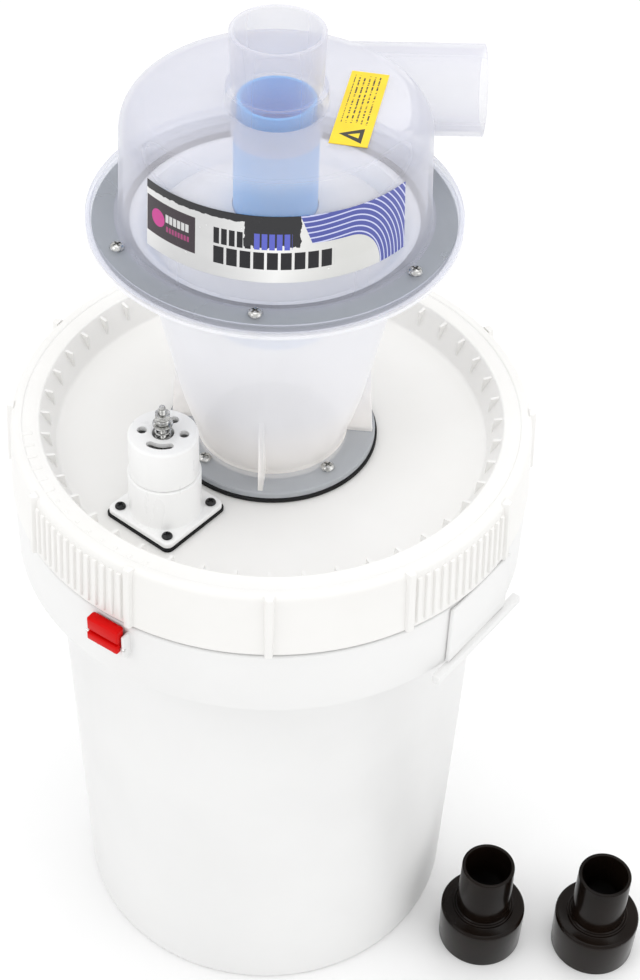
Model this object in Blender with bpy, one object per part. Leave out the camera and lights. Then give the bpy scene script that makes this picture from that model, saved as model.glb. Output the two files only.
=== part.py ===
"""A cyclone dust separator standing on the screw lid of a plastic pail, with two loose hose adapters.

Metres, +Z up. The origin is the centre of the pail's base, on the surface it stands on.
An azimuth is counted in degrees from the front (-Y) towards the right (+X).
"""

from math import cos, pi, radians, sin, tau

import bmesh
import bpy
from mathutils import Matrix, Vector

# Fits
GAP = 0.0003  # between two pieces that touch
SCREW_CLEARANCE = 0.0005  # round a screw's shank
CUT = 0.001  # how far a cutting shape runs past what it cuts
SINK = 0.001  # how far a joined shape reaches into its neighbour
SIDES = 40  # flats on every large round piece
MEDIUM_SIDES = 24  # flats on the pieces about the size of a hose port
SMALL_SIDES = 16  # flats on the small round pieces

# Pail
PAIL_HEIGHT = 0.404
PAIL_NECK_RADIUS = 0.139
PAIL_DRAFT = 0.0117
PAIL_WALL = 0.0024
PAIL_FLOOR = 0.003
FOOT_ROUND = 0.004
COLLAR_REACH = 0.018  # collar's face outside the neck
COLLAR_WALL = 0.0026
COLLAR_HEIGHT = 0.0465
COLLAR_BELOW_LIP = 0.0325
EAR_AZIMUTHS = (52, -128)
EAR_WIDTH = 0.086
EAR_PROUD = 0.0004  # flat pad in front of the collar
EAR_LEDGE = 0.005
EAR_LEDGE_PROUD = 0.003  # ledge in front of the pad

# Screw thread between the pail and the lid
THREAD_PITCH = 0.012
THREAD_LOW = 0.0095  # first turn's middle above the collar
THREAD_DEPTH = 0.0085
THREAD_ROOT = 0.005  # ridge height at its root
THREAD_CREST = 0.003
THREAD_PLAY = 0.002  # between one thread's crest and the other's root
THREAD_STEPS = 36

# Child-proof latch on the pail's collar
LATCH_AZIMUTH = -35
LATCH_WIDTH = 0.022
LATCH_HEIGHT = 0.0172
LATCH_THICK = 0.0075
LATCH_STANDOFF = 0.0012  # latch's back in front of the collar
LATCH_PIN_RADIUS = 0.0012
LATCH_PIN_RISE = 0.0026  # pin above the latch's lower edge
LATCH_DROP = 0.0171  # latch's lower edge below the collar's top
LATCH_EDGE = 0.0007
LATCH_GROOVE_RISE = 0.0036  # groove's lower edge above the pin
LATCH_GROOVE_WIDTH = 0.0022
LATCH_GROOVE_DEPTH = 0.0018
LATCH_LEDGE_GAP = 0.0035  # ledge's top below the latch
LATCH_LEDGE_THICK = 0.0055
CHEEK_THICK = 0.0022
CHEEK_REACH = 0.0032  # cheek's face in front of the pin's axis
CHEEK_DROP = 0.010  # cheek's foot below the latch

# Lid
LID_SEAL_THICK = 0.0027
LID_SEAL_WIDTH = 0.0036
LID_SEAL_PLAY = 0.001  # between the seal and its groove
LID_OVERHANG = 0.0166  # rim's edge outside the neck
LID_RISE = 0.0107  # rim top above the seal
LID_ROUND = 0.0036
LID_SKIRT_WALL = 0.0033
LID_SKIRT_DRAFT = 0.0022
LID_SKIRT_CLEARANCE = 0.0023
LID_TOP_WALL = 0.0028
WELL_INSET = 0.001  # well's mouth inside the neck
WELL_TAPER = 0.008
WELL_DEPTH = 0.018
WELL_FLOOR_THICK = 0.0035
LID_RIBS = 12
LID_RIB_WIDTH = 0.0032
LID_RIB_PROUD = 0.0032
LID_RIB_RISE = 0.0022
TEETH = 45
TOOTH_THICK = 0.0018
TOOTH_REACH = 0.0055  # gusset's foot inside the well's corner

# Cyclone cone
THROAT_RADIUS = 0.041
BASE_FLANGE_RADIUS = 0.062
BASE_FLANGE_THICK = 0.0037
BASE_SEAL_THICK = 0.0022
BASE_SEAL_OVERHANG = 0.0013
CONE_FOOT_RADIUS = 0.044
CONE_SHOULDER_RADIUS = 0.054
CONE_SHOULDER_RISE = 0.0365
CONE_TOP_RADIUS = 0.0775
CONE_WALL = 0.0024
CONE_HEIGHT = 0.1561
BASE_SCREW_INSET = 0.0107  # screws inside the flange's edge
BASE_SCREW_AZIMUTHS = (40, 130, 220, 310)
FIN_AZIMUTHS = (-6, 84, 174, 264)
FIN_THICK = 0.0024
FIN_HEIGHT = 0.050
FIN_INSET = 0.0015  # fin's foot inside the flange's edge
FIN_RISE = 0.003  # height of the fin's outer edge

# Flanges between the cone and the dome
FLANGE_RADIUS = 0.1038
FLANGE_THICK = 0.0026
FLANGE_LIP_WIDTH = 0.0026
FLANGE_LIP_RISE = 0.0013
FLANGE_SEAL_THICK = 0.0014
FLANGE_SEAL_WIDTH = 0.0205
FLANGE_SEAL_INSET = 0.0008  # seal's edge inside the lip
FLANGE_SCREW_INSET = 0.0118
FLANGE_SCREW_AZIMUTHS = (-66, -6, 54, 114, 174, 234)

# Dome
DOME_RADIUS = 0.0858
DOME_DRAFT = 0.0023
DOME_HEIGHT = 0.0711
DOME_ROUND = 0.015
DOME_FILLET = 0.002
DOME_WALL = 0.0025
PORT_RADIUS = 0.0254  # both hose ports are for a 50.8 mm hose
PORT_WALL = 0.0025
PORT_DRAFT = 0.001
OUTLET_RISE = 0.0432
OUTLET_COLLAR_PROUD = 0.002
OUTLET_COLLAR_RISE = 0.011
SOCKET_DEPTH = 0.019
INLET_REACH = 0.1145
INLET_BELOW_TOP = 0.0275  # inlet's axis below the dome's top
BORE_START = 0.004

# Vortex finder and baffle inside the dome
FINDER_CLEARANCE = 0.0006
FINDER_RISE = 0.003  # its rim above the dome's top
FINDER_WALL = 0.0022
FINDER_STEP = 0.0022  # tube inside the port's radius
BELL_RADIUS = 0.040
BELL_TOP_BELOW_FLANGE = 0.0159
BELL_FLARE = 0.011
BELL_LENGTH = 0.052
BAFFLE_CLEARANCE = 0.0135  # round its edge, for the dust to pass
BAFFLE_THICK = 0.0024
BAFFLE_RISE = 0.0165

# Vacuum relief valve on the lid
VALVE_AZIMUTH = -40.3
VALVE_INSET = 0.00305  # valve nearer to the cone than halfway to the well's wall
VALVE_PLATE = 0.048
VALVE_PLATE_THICK = 0.003
VALVE_SEAL_THICK = 0.0019
VALVE_SEAL_OVERHANG = 0.0008
VALVE_CORNER = 0.004
VALVE_BODY_RADIUS = 0.021
VALVE_BODY_HEIGHT = 0.0315
VALVE_BODY_WALL = 0.0045
VALVE_WEB = 0.003
VALVE_PORTS = 6
VALVE_PORT_RADIUS = 0.0026
VALVE_CAP_STEP = 0.0011  # cap inside the barrel's radius
VALVE_CAP_HEIGHT = 0.0277
VALVE_CAP_WALL = 0.002
VALVE_CAP_TOP = 0.003
VALVE_CAP_EDGE = 0.0012
CAP_PORT_AZIMUTHS = (-98, 84, 152)
CAP_PORT_RADIUS = 0.0021
CAP_PORT_STRETCH = 1.6
CAP_SLOT_AZIMUTH = -7
CAP_SLOT_SPAN = 66
CAP_SLOT_WIDTH = 0.0036
VALVE_SCREW_INSET = 0.0057
ROD_RADIUS = 0.002
ROD_PLAY = 0.0008
ROD_ABOVE_CAP = 0.019
POPPET_PLAY = 0.0022
POPPET_THICK = 0.0025
POPPET_SEAL_THICK = 0.0022
SPRING_RADIUS = 0.0042
SPRING_WIRE = 0.0005
SPRING_TURNS = 9
SPRING_ABOVE_CAP = 0.0062
SPRING_PLAY = 0.0015  # between the spring and the cap's hole
WASHER_THICK = 0.0008
WASHER_OVERHANG = 0.0016
ROD_NUT_ACROSS = 0.0082
ROD_NUT_THICK = 0.0032

# Screws and nuts
SCREW_RADIUS = 0.002
SCREW_HEAD_RADIUS = 0.004
SCREW_HEAD_HEIGHT = 0.0026
NUT_ACROSS = 0.007
NUT_THICK = 0.0032
NUT_STACK = 0.0052  # screw's end below what it clamps
VALVE_SCREW_RADIUS = 0.0015
VALVE_SCREW_HEAD_RADIUS = 0.0032
VALVE_SCREW_HEAD_HEIGHT = 0.002
VALVE_SCREW_END = 0.002  # screw's end below the lid

# Labels
LABEL_THICK = 0.0004
LABEL_SPAN = (-51, 52)
LABEL_LOW = 0.0161  # above the dome's foot
LABEL_HEIGHT = 0.040
STICKER_SIZE = (0.0202, 0.0693)
STICKER_CENTRE = (0.0432, -0.005)
STICKER_TURN = -11.2

# Hose adapters
ADAPTER_PLACES = ((60.376, 0.0487), (68.093, 0.1233))  # azimuth, and distance from the pail's foot
ADAPTER_HEIGHT = 0.079
CUP_WALL = 0.0035
CUP_HEIGHT = 0.034
CUP_DRAFT = 0.0005
CUP_EDGE = 0.0015
NECK_RADIUS = 0.0184
NECK_WALL = 0.0027
NECK_DRAFT = 0.0002
CUP_CLEARANCE = 0.0003
BEAD_RISE = 0.0022
BEAD_WIDTH = 0.0022

# Radii and places that follow from the sizes above
PAIL_BASE_RADIUS = PAIL_NECK_RADIUS - PAIL_DRAFT
COLLAR_RADIUS = PAIL_NECK_RADIUS + COLLAR_REACH
LID_RADIUS = PAIL_NECK_RADIUS + LID_OVERHANG
LID_RIB_RADIUS = LID_RADIUS + LID_RIB_PROUD
WELL_RADIUS = PAIL_NECK_RADIUS - WELL_INSET
WELL_FLOOR_RADIUS = WELL_RADIUS - WELL_TAPER
BASE_SEAL_RADIUS = BASE_FLANGE_RADIUS + BASE_SEAL_OVERHANG
BASE_SCREW_CIRCLE = BASE_FLANGE_RADIUS - BASE_SCREW_INSET
FLANGE_SCREW_CIRCLE = FLANGE_RADIUS - FLANGE_SCREW_INSET
DOME_TOP_RADIUS = DOME_RADIUS - DOME_DRAFT
OUTLET_COLLAR_RADIUS = PORT_RADIUS + OUTLET_COLLAR_PROUD
FINDER_RADIUS = PORT_RADIUS - FINDER_STEP
BAFFLE_RADIUS = DOME_TOP_RADIUS - DOME_WALL - BAFFLE_CLEARANCE
VALVE_CIRCLE = (BASE_SEAL_RADIUS + WELL_FLOOR_RADIUS) / 2 - VALVE_INSET
VALVE_BORE = VALVE_BODY_RADIUS - VALVE_BODY_WALL
VALVE_CAP_RADIUS = VALVE_BODY_RADIUS - VALVE_CAP_STEP
VALVE_SCREW_SPACING = VALVE_PLATE - 2 * VALVE_SCREW_INSET
POPPET_RADIUS = VALVE_BORE - POPPET_PLAY
CUP_RADIUS = PORT_RADIUS + CUP_CLEARANCE + CUP_WALL

# Heights that follow from the sizes above
COLLAR_TOP = PAIL_HEIGHT - COLLAR_BELOW_LIP
COLLAR_BOTTOM = COLLAR_TOP - COLLAR_HEIGHT
LID_SEAT = PAIL_HEIGHT + LID_SEAL_THICK + 2 * GAP
RIM_TOP = LID_SEAT + LID_RISE
WELL_FLOOR = RIM_TOP - WELL_DEPTH
WELL_UNDERSIDE = WELL_FLOOR - WELL_FLOOR_THICK
CONE_BASE = WELL_FLOOR + BASE_SEAL_THICK + 2 * GAP
CONE_FLOOR = CONE_BASE + BASE_FLANGE_THICK
CONE_TOP = CONE_BASE + CONE_HEIGHT
DOME_BASE = CONE_TOP + FLANGE_SEAL_THICK + 2 * GAP
DOME_FOOT = DOME_BASE + FLANGE_THICK
DOME_TOP = DOME_BASE + DOME_HEIGHT
OUTLET_TOP = DOME_TOP + OUTLET_RISE
SOCKET_BORE = PORT_RADIUS - PORT_DRAFT - PORT_WALL
VALVE_BASE = WELL_FLOOR + VALVE_SEAL_THICK + 2 * GAP
VALVE_DECK = VALVE_BASE + VALVE_PLATE_THICK
VALVE_BODY_TOP = VALVE_BASE + VALVE_BODY_HEIGHT
VALVE_WEB_LOW = VALVE_BODY_TOP - VALVE_WEB
CAP_BASE = VALVE_BODY_TOP + GAP
CAP_TOP = CAP_BASE + VALVE_CAP_HEIGHT
SPRING_TOP = CAP_TOP + SPRING_ABOVE_CAP

# Colours, roughness and metallic value of each finish
FINISHES = {
    "white_plastic": ((0.88, 0.87, 0.84), 0.42, 0.0),
    "clear_plastic": ((0.78, 0.82, 0.88), 0.25, 0.0),
    "blue_plastic": ((0.36, 0.58, 0.85), 0.35, 0.0),
    "red_plastic": ((0.75, 0.01, 0.01), 0.35, 0.0),
    "black_rubber": ((0.02, 0.02, 0.02), 0.7, 0.0),
    "black_plastic": ((0.03, 0.025, 0.022), 0.15, 0.0),
    "zinc": ((0.68, 0.69, 0.68), 0.3, 1.0),
    "silver_label": ((0.62, 0.64, 0.66), 0.25, 0.6),
    "yellow_label": ((0.95, 0.75, 0.05), 0.45, 0.0),
}


def clear_scene():
    for obj in list(bpy.data.objects):
        bpy.data.objects.remove(obj)


def finish(name):
    """The named finish as a material, made once."""
    if name in bpy.data.materials:
        return bpy.data.materials[name]
    colour, roughness, metallic = FINISHES[name]
    material = bpy.data.materials.new(name)
    material.use_nodes = True
    shader = material.node_tree.nodes["Principled BSDF"]
    shader.inputs["Base Color"].default_value = (*colour, 1)
    shader.inputs["Roughness"].default_value = roughness
    shader.inputs["Metallic"].default_value = metallic
    return material


def at_azimuth(azimuth, radius=0.0, height=0.0):
    """The place at this azimuth, turned so that its -Y looks outward."""
    return Matrix.Rotation(radians(azimuth), 4, "Z") @ Matrix.Translation((0, -radius, height))


def object_of(bm, name, material=None, place=None):
    """Turns a bmesh into an object. One with no material is a cutter or another helper."""
    bmesh.ops.remove_doubles(bm, verts=bm.verts, dist=1e-7)
    bmesh.ops.recalc_face_normals(bm, faces=bm.faces)
    mesh = bpy.data.meshes.new(name)
    bm.to_mesh(mesh)
    bm.free()
    obj = bpy.data.objects.new(name, mesh)
    bpy.context.collection.objects.link(obj)
    if place:
        obj.matrix_world = place
    if material:
        mesh.materials.append(finish(material))
        mesh.shade_smooth()
        mesh.set_sharp_from_angle(angle=radians(35))
    else:
        obj.hide_render = True
        obj.display_type = "WIRE"
    return obj


def add_chain(bm, outline, closed):
    """Joins (radius, height) points by edges in the XZ plane."""
    verts = [bm.verts.new((radius, 0, height)) for radius, height in outline]
    edges = [bm.edges.new(pair) for pair in zip(verts, verts[1:])]
    if closed:
        edges.append(bm.edges.new((verts[-1], verts[0])))
    return verts + edges


def turned(name, outline, material=None, place=None, sides=SIDES):
    """A solid of revolution. An outline that starts and ends on the axis is left open there."""
    bm = bmesh.new()
    on_axis = outline[0][0] == 0 and outline[-1][0] == 0
    chain = add_chain(bm, outline, closed=not on_axis)
    bmesh.ops.spin(bm, geom=chain, cent=(0, 0, 0), axis=(0, 0, 1), angle=tau, steps=sides, use_merge=True)
    return object_of(bm, name, material, place)


def swept(bm, outline, start, angle, steps, climb=0.0):
    """Sweeps a closed outline round +Z from a start angle, and caps both ends."""
    chain = add_chain(bm, outline, closed=True)
    verts = [part for part in chain if isinstance(part, bmesh.types.BMVert)]
    bmesh.ops.rotate(bm, verts=verts, cent=(0, 0, 0), matrix=Matrix.Rotation(start, 3, "Z"))
    step = (0, 0, climb / steps)
    bmesh.ops.spin(bm, geom=chain, cent=(0, 0, 0), axis=(0, 0, 1), dvec=step, angle=angle, steps=steps)
    open_edges = [edge for edge in bm.edges if edge.is_boundary]
    bmesh.ops.holes_fill(bm, edges=open_edges, sides=len(outline))


def add_block(bm, low, high, place=None):
    """A box between two corners."""
    low, high = Vector(low), Vector(high)
    matrix = Matrix.Translation((low + high) / 2) @ Matrix.Diagonal((*(high - low), 1))
    bmesh.ops.create_cube(bm, size=1, matrix=(place or Matrix()) @ matrix)


def add_rod(bm, radius, low, high, centre=(0, 0), sides=SMALL_SIDES, place=None):
    """An upright cylinder between two heights."""
    matrix = Matrix.Translation((*centre, (low + high) / 2))
    bmesh.ops.create_cone(
        bm, cap_ends=True, segments=sides, radius1=radius, radius2=radius, depth=high - low,
        matrix=(place or Matrix()) @ matrix,
    )


def add_prism(bm, points, thickness):
    """Extrudes a flat polygon of (x, y, z) points by a vector."""
    face = bm.faces.new([bm.verts.new(point) for point in points])
    grown = bmesh.ops.extrude_face_region(bm, geom=[face], use_keep_orig=True)
    moved = [part for part in grown["geom"] if isinstance(part, bmesh.types.BMVert)]
    bmesh.ops.translate(bm, verts=moved, vec=thickness)


def boolean(obj, other, operation):
    modifier = obj.modifiers.new(other.name, "BOOLEAN")
    modifier.operation = operation
    modifier.object = other
    modifier.solver = "EXACT"


def arc(centre, radius, start, end, steps):
    """Points of an arc in an outline, between two angles in degrees."""
    turns = [radians(start + (end - start) * i / steps) for i in range(steps + 1)]
    return [(centre[0] + radius * cos(a), centre[1] + radius * sin(a)) for a in turns]


def drill(obj, name, radius, low, high, centres, place=None, sides=8):
    """Cuts upright round holes."""
    bm = bmesh.new()
    for centre in centres:
        add_rod(bm, radius, low, high, centre, sides, place)
    boolean(obj, object_of(bm, name), "DIFFERENCE")


def on_circle(radius, azimuths):
    return [(radius * sin(radians(a)), -radius * cos(radians(a))) for a in azimuths]


def valve_corners(spacing):
    half = spacing / 2
    return [(-half, -half), (half, -half), (half, half), (-half, half)]


# Pail and latch


def pail_radius(height):
    """Outer radius of the drafted wall."""
    return PAIL_BASE_RADIUS + (PAIL_NECK_RADIUS - PAIL_BASE_RADIUS) * height / PAIL_HEIGHT


def thread_outline(root, crest, height):
    return [
        (root, height - THREAD_ROOT / 2),
        (crest, height - THREAD_CREST / 2),
        (crest, height + THREAD_CREST / 2),
        (root, height + THREAD_ROOT / 2),
    ]


def thread_ridge(name, root, crest, start):
    """One right-hand turn of thread."""
    bm = bmesh.new()
    height = COLLAR_TOP + THREAD_LOW
    swept(bm, thread_outline(root, crest, height), start, tau * 0.97, THREAD_STEPS, THREAD_PITCH * 0.97)
    return object_of(bm, name)


def pail_ears():
    """Flat pads on the collar, each with a ledge under it."""
    bm = bmesh.new()
    half = EAR_WIDTH / 2
    face = COLLAR_RADIUS + EAR_PROUD
    inner = COLLAR_RADIUS - COLLAR_WALL
    ledge_face = face + EAR_LEDGE_PROUD
    for azimuth in EAR_AZIMUTHS:
        place = at_azimuth(azimuth)
        add_block(bm, (-half, -face, COLLAR_BOTTOM + EAR_LEDGE / 2), (half, -inner, COLLAR_TOP), place)
        ledge_top = COLLAR_BOTTOM + EAR_LEDGE / 4
        add_block(bm, (-half, -ledge_face, COLLAR_BOTTOM - EAR_LEDGE), (half, -inner, ledge_top), place)
    return object_of(bm, "ear_shape")


def latch_frame():
    """Radius of the latch's back, its lower edge, and its pin's radius and height."""
    back = COLLAR_RADIUS + LATCH_STANDOFF
    bottom = COLLAR_TOP - LATCH_DROP
    return back, bottom, back + LATCH_THICK / 2, bottom + LATCH_PIN_RISE


def latch_cheeks():
    """Two cheeks that hold the latch's pin, and a ledge under the latch."""
    bm = bmesh.new()
    back, bottom, pin_radius, _ = latch_frame()
    place = at_azimuth(LATCH_AZIMUTH)
    inner = LATCH_WIDTH / 2 + 2 * GAP
    root = COLLAR_RADIUS - COLLAR_WALL / 2 - SINK
    front = pin_radius + CHEEK_REACH
    for side in (-1, 1):
        sides = sorted((side * inner, side * (inner + CHEEK_THICK)))
        add_block(bm, (sides[0], -front, bottom - CHEEK_DROP), (sides[1], -root, COLLAR_TOP - SINK), place)
    obj = object_of(bm, "cheek_shape")
    bm = bmesh.new()
    width = inner + CHEEK_THICK / 2
    top = bottom - LATCH_LEDGE_GAP
    add_block(bm, (-width, -back - SINK, top - LATCH_LEDGE_THICK), (width, -root - SINK / 2, top), place)
    boolean(obj, object_of(bm, "latch_ledge_shape"), "UNION")
    return obj


def across_pin(radius, half_length):
    """A cylinder along the latch's pin."""
    bm = bmesh.new()
    _, _, pin_radius, pin_height = latch_frame()
    turn = Matrix.Rotation(pi / 2, 4, "Y")
    place = at_azimuth(LATCH_AZIMUTH, pin_radius, pin_height)
    add_rod(bm, radius, -half_length, half_length, sides=12, place=place @ turn)
    return bm


def make_pail():
    neck_inside = PAIL_NECK_RADIUS - PAIL_WALL
    collar_inside = COLLAR_RADIUS - COLLAR_WALL
    web_low = COLLAR_TOP - COLLAR_WALL
    foot_centre = (pail_radius(FOOT_ROUND) - FOOT_ROUND, FOOT_ROUND)
    inside_foot = (pail_radius(PAIL_FLOOR) - PAIL_WALL - FOOT_ROUND, PAIL_FLOOR + FOOT_ROUND)
    outline = [
        (0, 0),
        *arc(foot_centre, FOOT_ROUND, -90, 0, 2),
        (pail_radius(web_low), web_low),
        (collar_inside, web_low),
        (collar_inside, COLLAR_BOTTOM),
        (COLLAR_RADIUS, COLLAR_BOTTOM),
        (COLLAR_RADIUS, COLLAR_TOP),
        (pail_radius(COLLAR_TOP), COLLAR_TOP),
        (PAIL_NECK_RADIUS, PAIL_HEIGHT),
        (neck_inside, PAIL_HEIGHT),
        *arc(inside_foot, FOOT_ROUND, 0, -90, 2),
        (0, PAIL_FLOOR),
    ]
    pail = turned("pail", outline, "white_plastic")
    boolean(pail, pail_ears(), "UNION")
    boolean(pail, latch_cheeks(), "UNION")
    root = pail_radius(COLLAR_TOP) - PAIL_WALL / 2
    ridge = thread_ridge("pail_thread_shape", root, PAIL_NECK_RADIUS + THREAD_DEPTH, 0)
    boolean(pail, ridge, "UNION")
    hole = object_of(across_pin(LATCH_PIN_RADIUS + GAP, LATCH_WIDTH), "pin_hole_shape")
    boolean(pail, hole, "DIFFERENCE")


def make_latch():
    """The red latch and its pin. The latch's parent is an empty on the pin's axis."""
    back, bottom, pin_radius, pin_height = latch_frame()
    pivot = bpy.data.objects.new("latch_pivot", None)
    bpy.context.collection.objects.link(pivot)
    pivot.matrix_world = at_azimuth(LATCH_AZIMUTH, pin_radius, pin_height)
    bm = bmesh.new()
    half = LATCH_WIDTH / 2
    low = (-half, -LATCH_THICK / 2, -LATCH_PIN_RISE)
    high = (half, LATCH_THICK / 2, LATCH_HEIGHT - LATCH_PIN_RISE)
    add_block(bm, low, high)
    latch = object_of(bm, "red_latch", "red_plastic")
    latch.parent = pivot
    bevel = latch.modifiers.new("Bevel", "BEVEL")
    bevel.width = LATCH_EDGE
    bevel.segments = 1
    bm = bmesh.new()
    groove_back = -LATCH_THICK / 2 + LATCH_GROOVE_DEPTH
    groove_top = LATCH_GROOVE_RISE + LATCH_GROOVE_WIDTH
    add_block(bm, (-LATCH_WIDTH, -LATCH_THICK, LATCH_GROOVE_RISE), (LATCH_WIDTH, groove_back, groove_top))
    groove = object_of(bm, "latch_groove_shape", place=pivot.matrix_world)
    boolean(latch, groove, "DIFFERENCE")
    hole = object_of(across_pin(LATCH_PIN_RADIUS + GAP, LATCH_WIDTH), "latch_hole_shape")
    boolean(latch, hole, "DIFFERENCE")
    pin_reach = LATCH_WIDTH / 2 + CHEEK_THICK + 2 * GAP
    object_of(across_pin(LATCH_PIN_RADIUS, pin_reach), "latch_pin", "zinc")


# Lid


def lid_outline():
    """The rim, skirt and recessed well, walked from the skirt's outer foot."""
    foot = COLLAR_TOP + LID_SKIRT_CLEARANCE
    under_rim = RIM_TOP - LID_TOP_WALL
    lean = (WELL_RADIUS - WELL_FLOOR_RADIUS) / WELL_DEPTH
    thick = LID_TOP_WALL * 1.1  # the well wall's thickness, measured level
    seat_inside = WELL_FLOOR_RADIUS + thick + lean * (LID_SEAT - WELL_FLOOR)
    seat_outside = seat_inside + LID_SEAL_WIDTH + LID_SEAL_PLAY
    round_centre = (LID_RADIUS - LID_ROUND, RIM_TOP - LID_ROUND)
    return [
        (LID_RADIUS + LID_SKIRT_DRAFT, foot),
        *arc(round_centre, LID_ROUND, 0, 90, 2),
        (WELL_RADIUS, RIM_TOP),
        (WELL_FLOOR_RADIUS, WELL_FLOOR),
        (THROAT_RADIUS, WELL_FLOOR),
        (THROAT_RADIUS, WELL_UNDERSIDE),
        (WELL_FLOOR_RADIUS + thick - lean * WELL_FLOOR_THICK, WELL_UNDERSIDE),
        (seat_inside, LID_SEAT),
        (seat_outside, LID_SEAT),
        (seat_outside, under_rim),
        (LID_RADIUS - LID_SKIRT_WALL - SINK, under_rim),
        (LID_RADIUS + LID_SKIRT_DRAFT - LID_SKIRT_WALL, foot),
    ]


def lid_ribs():
    """Upright ribs on the skirt, standing a little above the rim."""
    bm = bmesh.new()
    foot = COLLAR_TOP + LID_SKIRT_CLEARANCE
    for i in range(LID_RIBS):
        place = at_azimuth(i * 360 / LID_RIBS)
        half = LID_RIB_WIDTH / 2
        low = (-half, -LID_RIB_RADIUS, foot)
        high = (half, -LID_RADIUS + LID_SKIRT_WALL * 0.8, RIM_TOP + LID_RIB_RISE)
        add_block(bm, low, high, place)
    return object_of(bm, "lid_rib_shape")


def well_teeth():
    """Triangular gussets between the well's floor and its wall."""
    bm = bmesh.new()
    lean = (WELL_RADIUS - WELL_FLOOR_RADIUS) / WELL_DEPTH
    high = WELL_DEPTH * 0.76
    sunk = TOOTH_THICK / 2
    points = [
        (WELL_FLOOR_RADIUS - TOOTH_REACH, -sunk),
        (WELL_FLOOR_RADIUS + sunk, -sunk),
        (WELL_FLOOR_RADIUS + lean * high + sunk, high - sunk),
        (WELL_FLOOR_RADIUS + lean * high - sunk, high),
    ]
    for i in range(TEETH):
        turn = Matrix.Rotation(i * tau / TEETH, 3, "Z")
        corners = [turn @ Vector((-TOOTH_THICK / 2, -r, WELL_FLOOR + h)) for r, h in points]
        add_prism(bm, corners, turn @ Vector((TOOTH_THICK, 0, 0)))
    return object_of(bm, "tooth_shape")


def make_lid():
    lid = turned("lid", lid_outline(), "white_plastic")
    boolean(lid, lid_ribs(), "UNION")
    boolean(lid, well_teeth(), "UNION")
    crest = PAIL_NECK_RADIUS + THREAD_DEPTH - THREAD_PLAY
    ridge = thread_ridge("lid_thread_shape", LID_RADIUS - LID_SKIRT_WALL / 3, crest, pi)
    boolean(lid, ridge, "UNION")
    low, high = WELL_UNDERSIDE - CUT, WELL_FLOOR + CUT
    base_holes = on_circle(BASE_SCREW_CIRCLE, BASE_SCREW_AZIMUTHS)
    drill(lid, "lid_base_holes", SCREW_RADIUS + SCREW_CLEARANCE, low, high, base_holes)
    valve = at_azimuth(VALVE_AZIMUTH, VALVE_CIRCLE)
    corners = valve_corners(VALVE_SCREW_SPACING)
    drill(lid, "lid_valve_holes", VALVE_SCREW_RADIUS + SCREW_CLEARANCE, low, high, corners, valve)
    drill(lid, "lid_valve_bore", VALVE_BORE, low, high, [(0, 0)], valve, SMALL_SIDES)


def ring(name, inside, outside, low, high, material, place=None, sides=SIDES):
    outline = [(inside, low), (outside, low), (outside, high), (inside, high)]
    return turned(name, outline, material, place, sides)


def make_lid_seal():
    low = PAIL_HEIGHT + GAP
    inside = PAIL_NECK_RADIUS - PAIL_WALL + LID_SEAL_PLAY / 2
    ring("lid_seal", inside, inside + LID_SEAL_WIDTH, low, low + LID_SEAL_THICK, "black_rubber")


# Cyclone


def cone_line():
    """Outer (radius, height) points of the cone from its foot up to the flange."""
    return [
        (CONE_FOOT_RADIUS, CONE_FLOOR),
        (CONE_SHOULDER_RADIUS, CONE_FLOOR + CONE_SHOULDER_RISE),
        (CONE_TOP_RADIUS, CONE_TOP - FLANGE_THICK),
    ]


def make_cone():
    outer = cone_line()
    inner = [(radius - CONE_WALL, height) for radius, height in reversed(outer)]
    outline = [
        (BASE_FLANGE_RADIUS, CONE_BASE),
        (BASE_FLANGE_RADIUS, CONE_FLOOR),
        *outer,
        (FLANGE_RADIUS, CONE_TOP - FLANGE_THICK),
        (FLANGE_RADIUS, CONE_TOP),
        (CONE_TOP_RADIUS - CONE_WALL, CONE_TOP),
        *inner,
        (THROAT_RADIUS, CONE_BASE),
    ]
    cone = turned("cyclone_cone", outline, "clear_plastic")
    boolean(cone, cone_fins(), "UNION")
    low, high = CONE_BASE - CUT, CONE_FLOOR + CUT
    base_holes = on_circle(BASE_SCREW_CIRCLE, BASE_SCREW_AZIMUTHS)
    drill(cone, "cone_base_holes", SCREW_RADIUS + SCREW_CLEARANCE, low, high, base_holes)
    flange_holes = on_circle(FLANGE_SCREW_CIRCLE, FLANGE_SCREW_AZIMUTHS)
    low, high = CONE_TOP - FLANGE_THICK - CUT, CONE_TOP + CUT
    drill(cone, "cone_flange_holes", SCREW_RADIUS + SCREW_CLEARANCE, low, high, flange_holes)


def cone_fins():
    """Thin upright fins that stiffen the cone's foot."""
    bm = bmesh.new()
    share = (FIN_HEIGHT - CONE_SHOULDER_RISE) / (CONE_TOP - FLANGE_THICK - CONE_FLOOR - CONE_SHOULDER_RISE)
    top = CONE_SHOULDER_RADIUS + share * (CONE_TOP_RADIUS - CONE_SHOULDER_RADIUS)
    points = [
        (CONE_FOOT_RADIUS - CONE_WALL / 2, CONE_FLOOR - SINK),
        (BASE_FLANGE_RADIUS - FIN_INSET, CONE_FLOOR - SINK),
        (BASE_FLANGE_RADIUS - FIN_INSET, CONE_FLOOR + FIN_RISE),
        (top + GAP, CONE_FLOOR + FIN_HEIGHT),
        (top - CONE_WALL / 2, CONE_FLOOR + FIN_HEIGHT),
        (CONE_SHOULDER_RADIUS - CONE_WALL / 2, CONE_FLOOR + CONE_SHOULDER_RISE),
    ]
    for azimuth in FIN_AZIMUTHS:
        turn = Matrix.Rotation(radians(azimuth), 3, "Z")
        corners = [turn @ Vector((-FIN_THICK / 2, -r, h)) for r, h in points]
        add_prism(bm, corners, turn @ Vector((FIN_THICK, 0, 0)))
    return object_of(bm, "fin_shape")


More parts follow.
